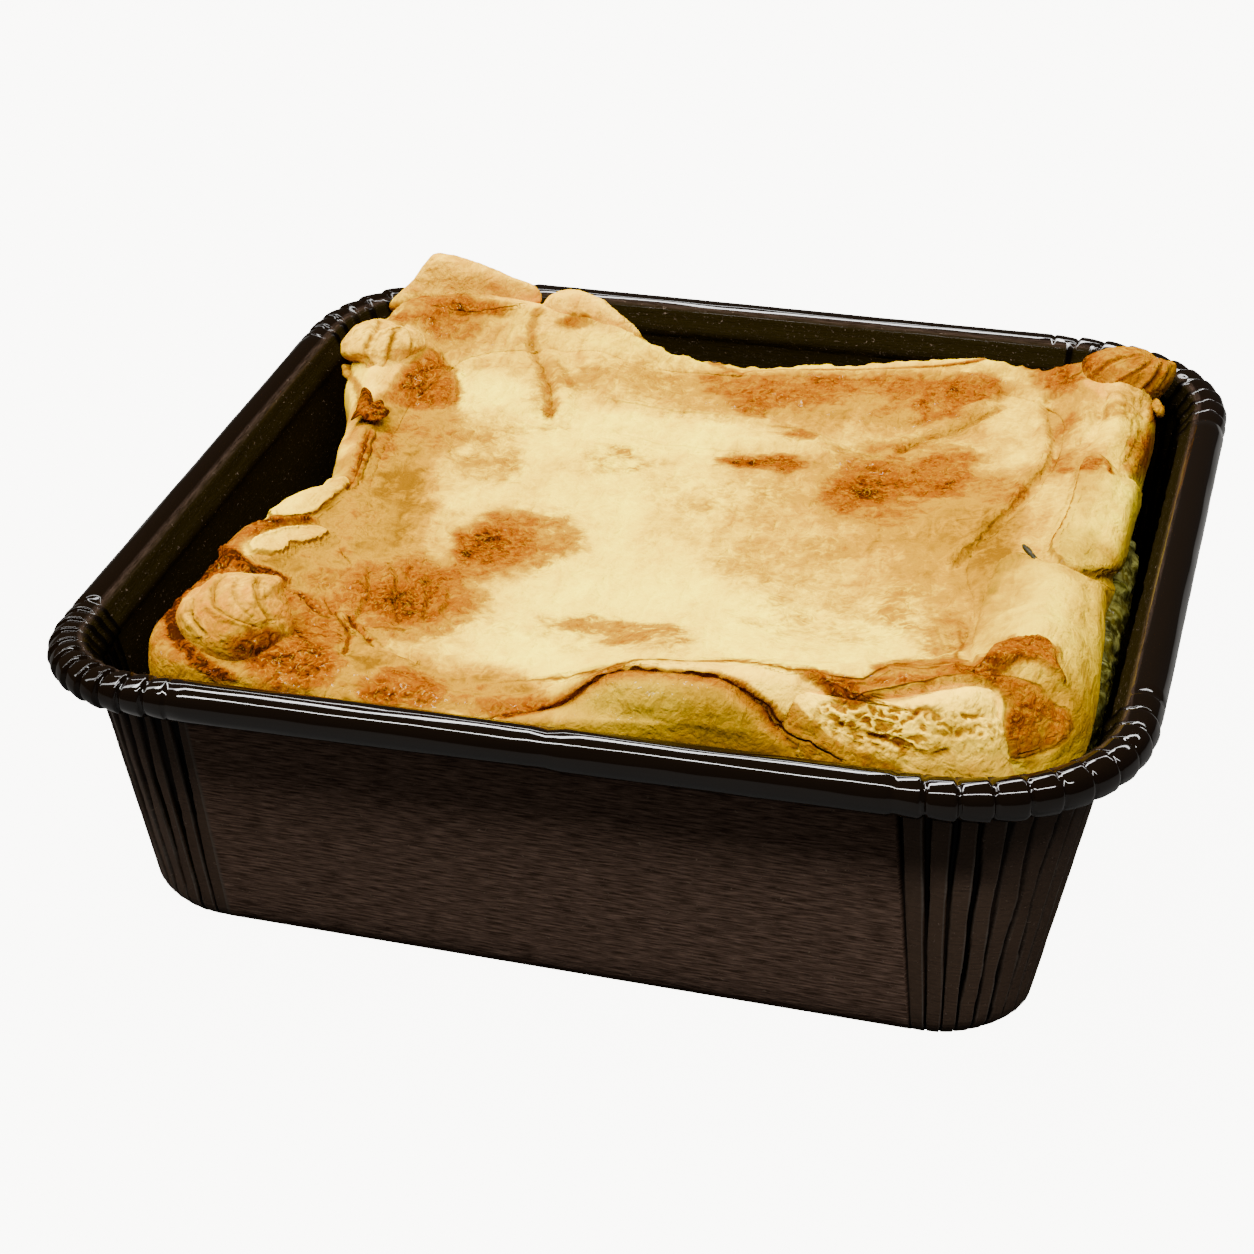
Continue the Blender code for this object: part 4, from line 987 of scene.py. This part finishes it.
case_marks["baked"] = np.clip(case_marks["baked"] * (1.0 - side_shade) + side_baked, 0, 1)
for mark, inner in (("green", 0.15), ("dry", 0.35), ("yellow", 0.6), ("wet", 0.4)):
    case_marks[mark] = case_marks[mark] * (1.0 - side_shade) + side_shade * inner

pastry_material = baked_material("puff_pastry", 0.7)
finish_piece(
    "pastry_case", case_mesh, case_points, case_marks, "pastry", pastry_material,
    case_places,
)

# Custard: the baked egg filling that fills the case. Its skin set level in the middle, climbed the
# crust at its edge, and blistered and browned in spots where it rose nearest to the heat.
SKIN_CELLS = 296
SKIRT_FROM, SKIRT_DROP = 0.972, 4.5
# Heights in metres that the filling reaches down inside the case, and how far it draws in there.
FILLING_STEPS = ((0.020, 0.955), (0.0036, 0.95))
skin_mesh, skin_places, wide, tall = blank_sheet(SKIN_CELLS, SKIN_CELLS)
east, north = wide * 2.0 - 1.0, tall * 2.0 - 1.0
ring = np.maximum(np.abs(east), np.abs(north))
angles = np.degrees(np.arctan2(north, east))
outer, _, _, width = crust_edge(angles)
lip = outer - width
inner_share = np.minimum(ring / SKIRT_FROM, 1.0)
radius = (lip + LIP_REACH) * inner_share
skirt = np.clip((ring - SKIRT_FROM) / (1.0 - SKIRT_FROM), 0.0, 1.0)
turn = np.radians(angles)
level = skin_height(angles, np.minimum(radius, lip))
skin_points = np.stack((radius * np.cos(turn), radius * np.sin(turn), level), -1)
skin_chart = on_chart(skin_points)
skin_marks = browning(skin_chart, skin_points)
skin_lift = relief(skin_chart, skin_points)
blistered = smooth((skin_marks["baked"] - 0.25) / 0.4)
skin_lift += 0.16 * blistered * rough(skin_points, 1.5, 2)
skin_points[..., 2] += skin_lift * (1.0 - skirt)
skin_points[..., 2] -= SKIRT_DROP * skirt**1.5
skin_points[..., :2] *= (1.0 - 0.02 * skirt**2)[..., None]


def fill_below(body):
    """Carries the skin's edge down the inside of the case and closes the filling underneath."""
    for level, inward in FILLING_STEPS:
        open_edges = [edge for edge in body.edges if len(edge.link_faces) == 1]
        made = bmesh.ops.extrude_edge_only(body, edges=open_edges)["geom"]
        for vertex in made:
            if isinstance(vertex, bmesh.types.BMVert):
                vertex.co = (vertex.co.x * inward, vertex.co.y * inward, level)
    open_edges = [edge for edge in body.edges if len(edge.link_faces) == 1]
    bmesh.ops.contextual_create(body, geom=open_edges)


custard_material = baked_material("baked_custard", 1.0)
finish_piece(
    "custard_filling", skin_mesh, skin_points, skin_marks, "filling", custard_material,
    skin_places, close=fill_below,
)

# Front left knob: the end of the pastry sheet's corner, coiled up above the rim with a spiral fold.
# It is dry, pale dough, burnt in one spot low on its right where it lay nearest to the heat.
FOLD_DEPTH, FOLD_SWELL, FOLD_SHADE = 0.6, 0.7, 0.6


def round_body(name, fineness):
    body = bmesh.new()
    bmesh.ops.create_icosphere(body, subdivisions=fineness, radius=1.0)
    return ended(body, name)


def lump(name, centre, half, turn, outline, fineness=7, square=2.0):
    """A closed lump of dough whose outline, seen from the camera, is the one drawn on the chart."""
    mesh, ball = round_body(name, fineness)
    across_power, along_power = np.hypot(ball[:, 0], ball[:, 2]) ** square, np.abs(ball[:, 1]) ** square
    ball /= ((across_power + along_power) ** (1.0 / square))[:, None]
    cosine, sine = math.cos(math.radians(turn)), math.sin(math.radians(turn))
    turning = np.array(((cosine, -sine, 0), (sine, cosine, 0), (0, 0, 1)))
    shape_of = turning * np.array(half)
    away = ball @ shape_of.T
    view = np.array((across, upward, ahead))
    seen = away @ view.T
    inverse = np.linalg.inv(view[:2] @ shape_of @ shape_of.T @ view[:2].T)
    seen_angle = np.arctan2(seen[:, 1], seen[:, 0])
    ray = np.stack((np.cos(seen_angle), np.sin(seen_angle)), -1)
    own = 1.0 / np.sqrt(np.einsum("ij,jk,ik->i", ray, inverse, ray))
    middle = np.array(centre) - eye
    line = drawn(outline, closed=True)
    sight = np.column_stack((line, np.full(len(line), CHART_LEVEL))) - eye
    sight *= (middle @ view[2]) / (sight @ view[2])[:, None]
    drawn_at = (sight - middle) @ view[:2].T
    drawn_angle = np.arctan2(drawn_at[:, 1], drawn_at[:, 0])
    in_turn = np.argsort(drawn_angle)
    wanted = np.interp(seen_angle, drawn_angle[in_turn], np.hypot(*drawn_at.T)[in_turn], period=2 * math.pi)
    seen[:, :2] *= (wanted / own)[:, None]
    points = seen @ view + np.array(centre)
    normal = ball / np.array(half) @ turning.T
    normal /= np.linalg.norm(normal, axis=1)[:, None]
    return mesh, points, normal


def finish_lump(name, mesh, points, marks, material, node="pastry"):
    marks = {mark: value if mark == "side" else np.clip(value, 0, 1) for mark, value in marks.items()}
    finish_piece(name, mesh, points, marks, node, material)


def creased(points, chart, creases, jitter):
    """Relief, painted shade in the grooves, and crease lines of folds on the chart, each a groove with a
    swelling beside it.
    """
    lift = np.zeros(len(points))
    groove_shade = np.zeros(len(points))
    for line, width, depth, swell, shade in creases:
        groove = line_on(chart, line, width, jitter)
        beside = line_on(chart + (1.7 * width, 0.6 * width), line, 1.6 * width, jitter)
        lift += FOLD_SWELL * swell * beside - FOLD_DEPTH * depth * groove
        groove_shade = np.maximum(groove_shade, FOLD_SHADE * shade * groove)
    return lift, groove_shade, tuple((line, False, 1.1 * shade) for line, _, _, _, shade in creases)


mesh, points, normal = lump(
    "knob_front_left", centre=(-49.8, -55.5, 45.0), half=(7.8, 8.4, 6.4), turn=25.0, outline=KNOB_FRONT_LEFT)
chart = on_chart(points)
jog = stray(points, 0.25, 2.0)
folds = (
    (((-58.6, -36.8), (-58.4, -41), (-56.6, -45.4), (-53, -48.6), (-49.3, -49.8)), 0.45, 0.55, 0.5, 0.3),
    (((-56.4, -36.4), (-55.6, -40.4), (-53.4, -44.4), (-50.4, -47.4)), 0.4, 0.3, 0.25, 0.16),
    (((-53.4, -36.0), (-52.6, -39.5), (-50.4, -43.6), (-47.8, -47.6)), 0.5, 0.7, 0.6, 0.3),
    (((-60.4, -44.9), (-58.6, -49.6), (-55, -54)), 0.4, 0.4, 0.4, 0.2),
)
lift, groove_shade, lines = creased(points, chart, folds, jog)
lift += 0.28 * rough(points, 5.0, 3) + 0.07 * rough(points, 1.0, 2)
marks = browning(chart, points, lines)
# The folds' painted shade darkens the knob together with its browning.
marks["baked"] = np.maximum(0.1 + groove_shade + 0.06 * rough(points, 0.9, 2), 0.0)
burn = spot_on(chart, (-47.3, -54.6), (3.6, 4.4), -20, jog * 3, 1.0)
ash = spot_on(chart, (-46.0, -59.0), (4.4, 5.4), 20, jog * 3, 1.2)
marks["baked"] = marks["baked"] + 0.66 * burn * (1.0 - marks["baked"]) + 0.14 * ash
marks["dry"] = np.full(len(points), 1.0)
marks["yellow"] = 0.82 + 0.3 * rough(points, 5.0, 3)
marks["green"] = 0.0 * lift
marks["wet"] = 0.1 + 0.9 * burn
finish_lump("knob_front_left", mesh, points + normal * lift[:, None], marks, pastry_material)

# Rear left knob: a twist of pale ribbons of puff pastry, one looped over the rest, where the sheet's
# rear left corner was gathered up by hand. It stands beside a browned patch of the crust.
mesh, points, normal = lump(
    "knob_rear_left", centre=(-59.4, 36.5, 45.5), half=(6.2, 8.6, 6.0), turn=-12.0, outline=KNOB_REAR_LEFT,
    fineness=6)
chart = on_chart(points)
jog = stray(points, 0.25, 2.0)
folds = (
    (((-65.2, 56.5), (-64.8, 50), (-63.6, 43.3), (-61.4, 40)), 0.5, 0.6, 0.6, 0.15),
    (((-61.6, 53.2), (-60.4, 46.8), (-58.2, 37.4), (-57, 31)), 0.5, 0.9, 0.8, 0.26),
    (((-63.2, 51.7), (-61.6, 55), (-59, 53.4), (-57, 46.8), (-56.3, 40.9)), 0.4, 0.4, 0.5, 0.15),
)
lift, groove_shade, lines = creased(points, chart, folds, jog)
lift += 0.25 * rough(points, 4.0, 3) + 0.06 * rough(points, 1.0, 2)
marks = browning(chart, points, lines)
# The folds' painted shade darkens the knob together with its browning.
marks["baked"] = np.maximum(0.08 + groove_shade + 0.06 * rough(points, 1.2, 2), 0.6 * marks["baked"])
marks["dry"] = np.full(len(points), 0.95)
marks["yellow"] = 0.5 + 0.25 * rough(points, 5.0, 3)
finish_lump("knob_rear_left", mesh, points + normal * lift[:, None], marks, pastry_material)

# Rear right knob: a fan of thin layers of puff pastry, gathered together at the corner of the tray
# and baked orange brown. The layers' edges show as long ridges.
KNOB_REAR_RIGHT = (
    (50.2, 70), (51.4, 73.4), (54, 76.4), (57, 77.4), (60, 76.6), (61.8, 73.6), (64.6, 72.4), (65.2, 68),
    (64.6, 62), (62.8, 56), (60.2, 52.4), (56.2, 52), (52.8, 55), (51.2, 60), (50.4, 64),
)
mesh, points, normal = lump(
    "knob_rear_right", centre=(57.4, 55.6, 45.4), half=(7.2, 7.4, 6.2), turn=30.0, outline=KNOB_REAR_RIGHT,
    fineness=6)
chart = on_chart(points)
jog = stray(points, 0.25, 2.0)
folds = (
    (((59.4, 74.6), (56.4, 72.6), (54.0, 68.8), (53.0, 64.4)), 0.4, 0.75, 0.6, 0.28),
    (((61.2, 72.4), (59.6, 68.2), (57.6, 64.2), (56.2, 60.2)), 0.4, 0.6, 0.5, 0.2),
    (((62.8, 72.6), (62.6, 67), (61.6, 62.4), (60.2, 57.2)), 0.45, 0.9, 0.7, 0.4),
    (((64.2, 70.5), (64, 65), (63, 60.6)), 0.3, 0.35, 0.3, 0.2),
)
lift, groove_shade, lines = creased(points, chart, folds, jog)
lift += 0.2 * rough(points, 4.0, 3) + 0.06 * rough(points, 1.0, 2)
marks = browning(chart, points, lines)
# The folds' painted shade darkens the knob together with its browning.
marks["baked"] = 0.36 + groove_shade + 0.1 * rough(points, 1.6, 2)
marks["baked"] += 0.45 * spot_on(chart, (48.5, 69), (4.5, 5), 20, jog * 3)
marks["dry"] = 0.35 + 0.65 * smooth((chart[:, 1] - 57.0) / 6.0)
marks["yellow"] = 0.9 + 0.25 * rough(points, 4.0, 3)
finish_lump("knob_rear_right", mesh, points + normal * lift[:, None], marks, pastry_material)

# Rear left flap and the rounded lobe beside it: the corner and edge of the pastry sheet, which stood
# up behind the filling as it baked. Both are dry, pale dough; the flap is browned low down where it leaves
# the top.
REAR_FLAP = (
    (-66.0, 74), (-65.4, 86.6), (-63.4, 88.2), (-57.3, 85.2), (-50.2, 81), (-46.1, 79), (-43.6, 76.4),
    (-42.2, 73.3), (-41.8, 70), (-44, 64), (-52, 61), (-60, 61), (-66, 64),
)
REAR_LOBE = (
    (-41.6, 69), (-40.6, 75.6), (-38.5, 77.5), (-36.1, 76.8), (-31.4, 73.6), (-27.3, 69), (-23.8, 64.8),
    (-21.6, 61), (-22, 56), (-30, 54), (-38, 56), (-41.4, 62),
)
TALLEST = 54.9
for name, centre, half, turn, outline, baked_from, tint in (
    ("flap_rear_left", (-52.0, 57.2, 49.1), (11.0, 2.6, 6.2), 4.0, REAR_FLAP, (67.5, 62.0), 0.05),
    ("lobe_rear_left", (-31.6, 56.4, 46.6), (9.0, 2.8, 5.2), -6.0, REAR_LOBE, (60.0, 52.0), 0.04),
):
    mesh, points, normal = lump(name, centre, half, turn, outline, fineness=6, square=3.0)
    chart = on_chart(points)
    jog = stray(points, 0.25, 2.0)
    lift = 0.3 * rough(points, 6.0, 2) + 0.14 * rough(points, 1.8, 2)
    marks = browning(chart, points)
    low_part = 1.0 - smooth((chart[:, 1] - baked_from[1]) / (baked_from[0] - baked_from[1]))
    marks["baked"] = tint + 0.5 * low_part * (name == "flap_rear_left") + 0.05 * rough(points, 1.5, 2)
    lobe_spot = spot_on(chart, (-34.0, 66.0), (2.5, 2.5), 0, jog * 4)
    marks["baked"] += 0.35 * lobe_spot * (name == "lobe_rear_left")
    marks["dry"] = 0.3 + 0.7 * smooth((chart[:, 1] - baked_from[0]) / 5.0)
    marks["yellow"] = 0.5 + 0.25 * rough(points, 5.0, 3)
    over = points[:, 2] - TALLEST
    points[:, 2] = np.where(over > 0.0, TALLEST + 0.3 * over, points[:, 2])
    finish_lump(name, mesh, points + normal * lift[:, None], marks, pastry_material)

# Front lobe: a thin, almost see-through bubble of puff pastry soaked with custard, which blew up along
# the front wall in the oven. Its edge stands up as a brown line.
mesh, points, normal = lump(
    "front_lobe", centre=(13.0, -62.9, 43.2), half=(17.0, 5.2, 7.4), turn=0.0, outline=FRONT_LOBE, square=2.6)
chart = on_chart(points)
jog = stray(points, 0.3, 2.0)
edge = line_on(chart, WAVE_LINE, 0.75, jog * 0.6)
lift = 0.22 * rough(points, 7.0, 3) + 0.1 * rough(points, 1.8, 2) + 0.25 * edge
marks = browning(chart, points)
marks["baked"] = 0.06 + 0.8 * edge + 0.35 * line_on(chart + (0.2, 1.6), WAVE_LINE[3:], 1.4, jog)
marks["baked"] += 0.35 * smooth((chart[:, 0] - 26.0) / 7.0) * (0.6 + 0.4 * rough(points, 1.4, 2))
marks["green"] = 0.62 * spot_on(chart, (6.5, -58.5), (8.5, 9.5), 0, jog * 3, 1.2)
marks["green"] = np.maximum(marks["green"], 0.3 * spot_on(chart, (17, -58), (9, 9), 0, jog * 3, 1.2))
marks["yellow"] = 0.75 + 0.25 * smooth((chart[:, 0] - 8.0) / 8.0)
marks["dry"] = 0.0 * lift
marks["wet"] = np.full(len(points), 0.95)
finish_lump("front_lobe", mesh, points + normal * lift[:, None], marks, pastry_material)

# Front right layers: the torn end of the folded pastry sheet. Its layers parted as they baked, into a
# lacy web of thin pale flakes with hollows between them, coloured darker by browning and by painted shade.
CELL_SHIFTS = (3.0, 30.0, 60.0)


def cells(points, size):
    """Distance to the nearest wall between seeds strewn through space, and which seed is nearest."""
    at = points.reshape(-1, 3) / size
    home = np.floor(at).astype(int)
    first = np.full(len(at), 9.0)
    second = first.copy()
    number = np.zeros(len(at), dtype=int)
    for step in itertools.product((-1, 0, 1), repeat=3):
        key = shuffled(home + step)
        away = np.linalg.norm(at - (home + step + 0.5 + 0.42 * leans[key]), axis=1)
        nearer = away < first
        second = np.where(nearer, first, np.minimum(second, away))
        number = np.where(nearer, key, number)
        first = np.minimum(first, away)
    return (second - first).reshape(points.shape[:-1]), (number / 255.0).reshape(points.shape[:-1])


TORN_END = (
    (28.2, -45.6), (32.5, -48), (34.2, -49.6), (36.6, -47.4), (40.1, -45.2), (44.8, -42.4), (48.4, -40.8),
    (51.4, -40.6), (53.6, -43), (55.2, -50.6), (56.6, -60.6), (57.2, -68), (52, -74), (40, -74), (32, -68),
    (27, -60), (24.5, -54), (25, -49),
)
SHELVES = (
    ((38, -49.6), (44, -50.8), (50, -50.2), (54.6, -49.4)),
    ((42, -56), (46.5, -56.6), (50, -55), (53.8, -52.4)), ((34, -57), (38, -58.4), (44, -60.6), (52, -60.4)),
)
TORN_FOOT = ((26, -52), (30, -56), (36, -62), (44, -66), (44, -74), (24, -60))
mesh, points, normal = lump(
    "front_right_layers", centre=(43.5, -57.4, 46.2), half=(13.5, 8.6, 7.0), turn=3.0, outline=TORN_END,
    square=2.6)
chart = on_chart(points)
jog = stray(points, 0.3, 2.0)
web, _ = cells(points * (0.6, 1.0, 1.1) + stray(points, 0.9, 2.2, shifts=CELL_SHIFTS), 1.5)
lace = smooth((0.22 - web) / 0.14)
torn = spot_on(chart, (43.5, -54), (12.5, 8.5), 0, jog * 4, 0.5)
lacy = smooth((-49.0 - chart[:, 1]) / 3.0) * (1.0 - 0.6 * smooth((chart[:, 0] - 43.0) / 3.0))
shelf = np.zeros(len(points))
for line in SHELVES:
    shelf = np.maximum(shelf, line_on(chart, line, 0.9, jog * 4))
shelf *= smooth(0.5 + 1.2 * rough(points + 5.0, 4.0, 2))
lift = -torn * (0.45 * (1.0 - lace) * lacy + 0.6 * shelf)
lift += 0.4 * rough(points, 5.0, 2) + 0.08 * rough(points, 1.2, 2)
marks = browning(chart, points)
# Hollows of the lace: darker amber, partly browning and partly painted shade; under each shelf a line of
# painted shadow.
deep = torn * lacy * smooth((web - 0.14) / 0.2)
marks["baked"] = 0.03 + 0.36 * deep + 0.26 * torn * shelf + 0.05 * rough(points, 1.5, 2)
marks["baked"] += 0.3 * patch_on(chart, TORN_FOOT, 2.0, jog * 2)
ridge = line_on(chart, NOTCH_LINE, 1.5, jog)
marks["baked"] = np.maximum(marks["baked"], 0.75 * ridge)
marks["dry"] = 1.0 - 0.5 * deep
marks["yellow"] = 0.1 + 0.35 * smooth((-58.0 - chart[:, 1]) / 4.0) + 0.3 * deep + 0.15 * rough(points, 4.0, 2)
marks["green"] = 0.0 * lift
marks["wet"] = 0.1 + 0.5 * ridge
finish_lump("front_right_layers", mesh, points + normal * lift[:, None], marks, pastry_material)

# Loose scraps of puff pastry: a burnt flake curled up at the left edge, and a small curl of dough at
# the right rear and at the left edge. Each is a thin leaf that lies on the crust.
BURNT_FLAKE = (
    (-60.2, 31), (-58.4, 29.4), (-56.8, 25.9), (-55.6, 26.8), (-54.4, 24.5), (-52.6, 22.3), (-53.2, 18.8),
    (-55, 18), (-56.6, 19.8), (-57.4, 17.4), (-58, 21.6), (-59.2, 26),
)
CURLED_FLAKE = (
    (63.2, 57.6), (64.2, 57.0), (65.0, 54), (65.0, 51), (64.2, 50), (63.4, 51.8), (62.8, 54.6),
)
EDGE_CURL = ((-66, 38.4), (-64.6, 38.6), (-63.4, 36.4), (-61.6, 32.6), (-62.6, 32.2), (-64.4, 34.4))
for name, spot, height, half, turn, outline, baked in (
    ("burnt_flake", (-56.6, 23.6), 46.4, (2.0, 4.6, 0.8), 12.0, BURNT_FLAKE, 0.88),
    ("curled_flake", (64.0, 54.0), 44.4, (1.2, 3.0, 1.2), -6.0, CURLED_FLAKE, 0.3),
    ("edge_curl", (-64.0, 36.0), 43.8, (1.4, 3.2, 1.0), 14.0, EDGE_CURL, 0.25),
):
    mesh, points, normal = lump(name, from_chart(spot, height), half, turn, outline, fineness=5)
    chart = on_chart(points)
    lift = 0.16 * rough(points, 1.6, 2)
    marks = browning(chart, points)
    marks["baked"] = baked + 0.12 * rough(points, 1.0, 2)
    marks["dry"] = np.full(len(points), 0.6)
    marks["crease"] = 0.0 * lift
    finish_lump(name, mesh, points + normal * lift[:, None], marks, pastry_material)

# Spilt filling: custard with green jalapeno pieces that ran out over the case's right side, and set
# in the gap between the case and the tray.
SPILL_FROM, SPILL_TO = np.array((47.0, -42.0, 12.0)), np.array((66.8, 31.0, 36.4))
spill_middle, spill_half = (SPILL_FROM + SPILL_TO) / 2, (SPILL_TO - SPILL_FROM) / 2
mesh, ball = round_body("spilt_filling", 7)
box_ball = ball / (np.abs(ball) ** 5).sum(1)[:, None] ** 0.2
points = spill_middle + box_ball * spill_half
SPILL_LEAN = 0.165
points[:, 0] -= SPILL_LEAN * (SPILL_TO[2] - points[:, 2])
wall_share, which = cells(points + stray(points, 1.2, 5.0, 1, shifts=CELL_SHIFTS), 5.0)
chunk = smooth(wall_share / 0.4)
points += ball * (-0.9 + 0.9 * chunk + 0.3 * rough(points, 3.0, 3))[:, None]
marks = {
    "chunk": chunk * (0.35 + 0.65 * (which > 0.45)),
    "pale": smooth((points[:, 0] - 60.0) / 3.0) * 0.6 + 0.25 * rough(points, 3.0, 2) + 0.2 * (which > 0.7),
}
spill_material, tree, shader = new_material(
    "jalapeno_filling", Roughness=0.6, Specular_IOR_Level=0.05, Coat_Weight=0.35, Coat_Roughness=0.16)
at = add(tree, "TexCoord").outputs["Object"]
curd = noise(tree, at, 700.0, 3.0, 0.6, 0.6)
streaks = noise(tree, at, 260.0, 3.0, 0.6)
olive = blend(tree, between(tree, streaks, 0.35, 0.65), (0.02, 0.016, 0.0), (0.12, 0.09, 0.002))
leaf = blend(tree, between(tree, curd, 0.35, 0.7), (0.034, 0.029, 0.0), (0.17, 0.155, 0.006))
tint = blend(tree, mark_of(tree, "chunk"), olive, leaf)
tint = blend(tree, times(tree, between(tree, curd, 0.45, 0.75), mark_of(tree, "pale"), True), tint,
             (0.42, 0.42, 0.12))
tree.links.new(tint, shader.inputs["Base Color"])
bumped(tree, shader, curd, 0.5, 0.0006)
finish_lump("spilt_filling", mesh, points, marks, spill_material, "filling")

# Herb sliver: a narrow dark leaf of the filling's herbs, left on the right lip and baked onto it.
# It is dry and almost black.
HERB = (
    (50.0, 1.2), (50.9, 1.0), (51.2, -0.4), (52.0, -2), (53.2, -4.4), (52.3, -4.3), (51.3, -2.4),
    (50.4, -0.6),
)
mesh, points, normal = lump(
    "herb_sliver", centre=from_chart((51.6, -1.4), 46.6), half=(0.6, 2.8, 0.5), turn=20.0, outline=HERB,
    fineness=4)
herb_material, tree, shader = new_material("baked_herb", Roughness=0.55, Specular_IOR_Level=0.2)
at = add(tree, "TexCoord").outputs["Object"]
veins = noise(tree, at, 1800.0, 2.0)
leaf = blend(tree, veins, (0.005, 0.005, 0.0008), (0.022, 0.018, 0.002))
tree.links.new(leaf, shader.inputs["Base Color"])
finish_lump("herb_sliver", mesh, points, {"dark": np.ones(len(points))}, herb_material, "filling")

# Table and light: a plain pale table, a wide soft light overhead and long narrow lamps that draw
# the bright streaks along the rolled rim.
TABLE_HALF, TABLE_GLOW, ROOM_LIGHT = 4.0, 9.2, 0.06
LAMP_TARGET = Vector((0.0, 0.0, 0.03))
floor_body = bmesh.new()
bmesh.ops.create_grid(floor_body, x_segments=1, y_segments=1, size=TABLE_HALF)
floor_mesh, _ = ended(floor_body, "floor")
floor = placed("floor", floor_mesh)
floor_material, tree, shader = new_material("pale_table", Base_Color=(0.08, 0.078, 0.074, 1.0), Roughness=0.9)
glow = add(tree, "Emission", Color=(1.0, 0.985, 0.93, 1.0), Strength=TABLE_GLOW)
seen_directly = add(tree, "LightPath").outputs["Is Camera Ray"]
surface = add(tree, "AddShader", i0=shader.outputs[0], i1=glow.outputs[0])
either = add(tree, "MixShader", i0=seen_directly, i1=shader.outputs[0], i2=surface.outputs[0])
tree.links.new(either.outputs[0], tree.nodes["Material Output"].inputs[0])
floor_mesh.materials.append(floor_material)
world = bpy.data.worlds.new("room")
bpy.context.scene.world = world
world.use_nodes = True
background = world.node_tree.nodes["Background"]
background.inputs[0].default_value = (1.0, 0.98, 0.95, 1.0)
background.inputs[1].default_value = ROOM_LIGHT


def lamp(name, place, width, length, power):
    """A rectangular lamp that faces the quiche, in metres and watts."""
    light = bpy.data.lights.new(name, "AREA")
    light.shape = "RECTANGLE"
    light.size = width
    light.size_y = length
    light.energy = power
    holder = placed(name, light)
    holder.location = place
    aim = (-Vector(place) + LAMP_TARGET).to_track_quat("-Z", "Y")
    holder.rotation_euler = aim.to_matrix().to_euler()


lamp("overhead", (-0.3, 0.24, 1.05), 1.2, 0.14, 38.0)
lamp("front_strip", (0.1, -0.52, 0.95), 1.5, 0.055, 30.0)
lamp("rear_strip", (0.0, 0.6, 0.8), 1.5, 0.04, 7.0)
lamp("left_strip", (-0.8, -0.1, 0.7), 0.12, 0.9, 9.0)
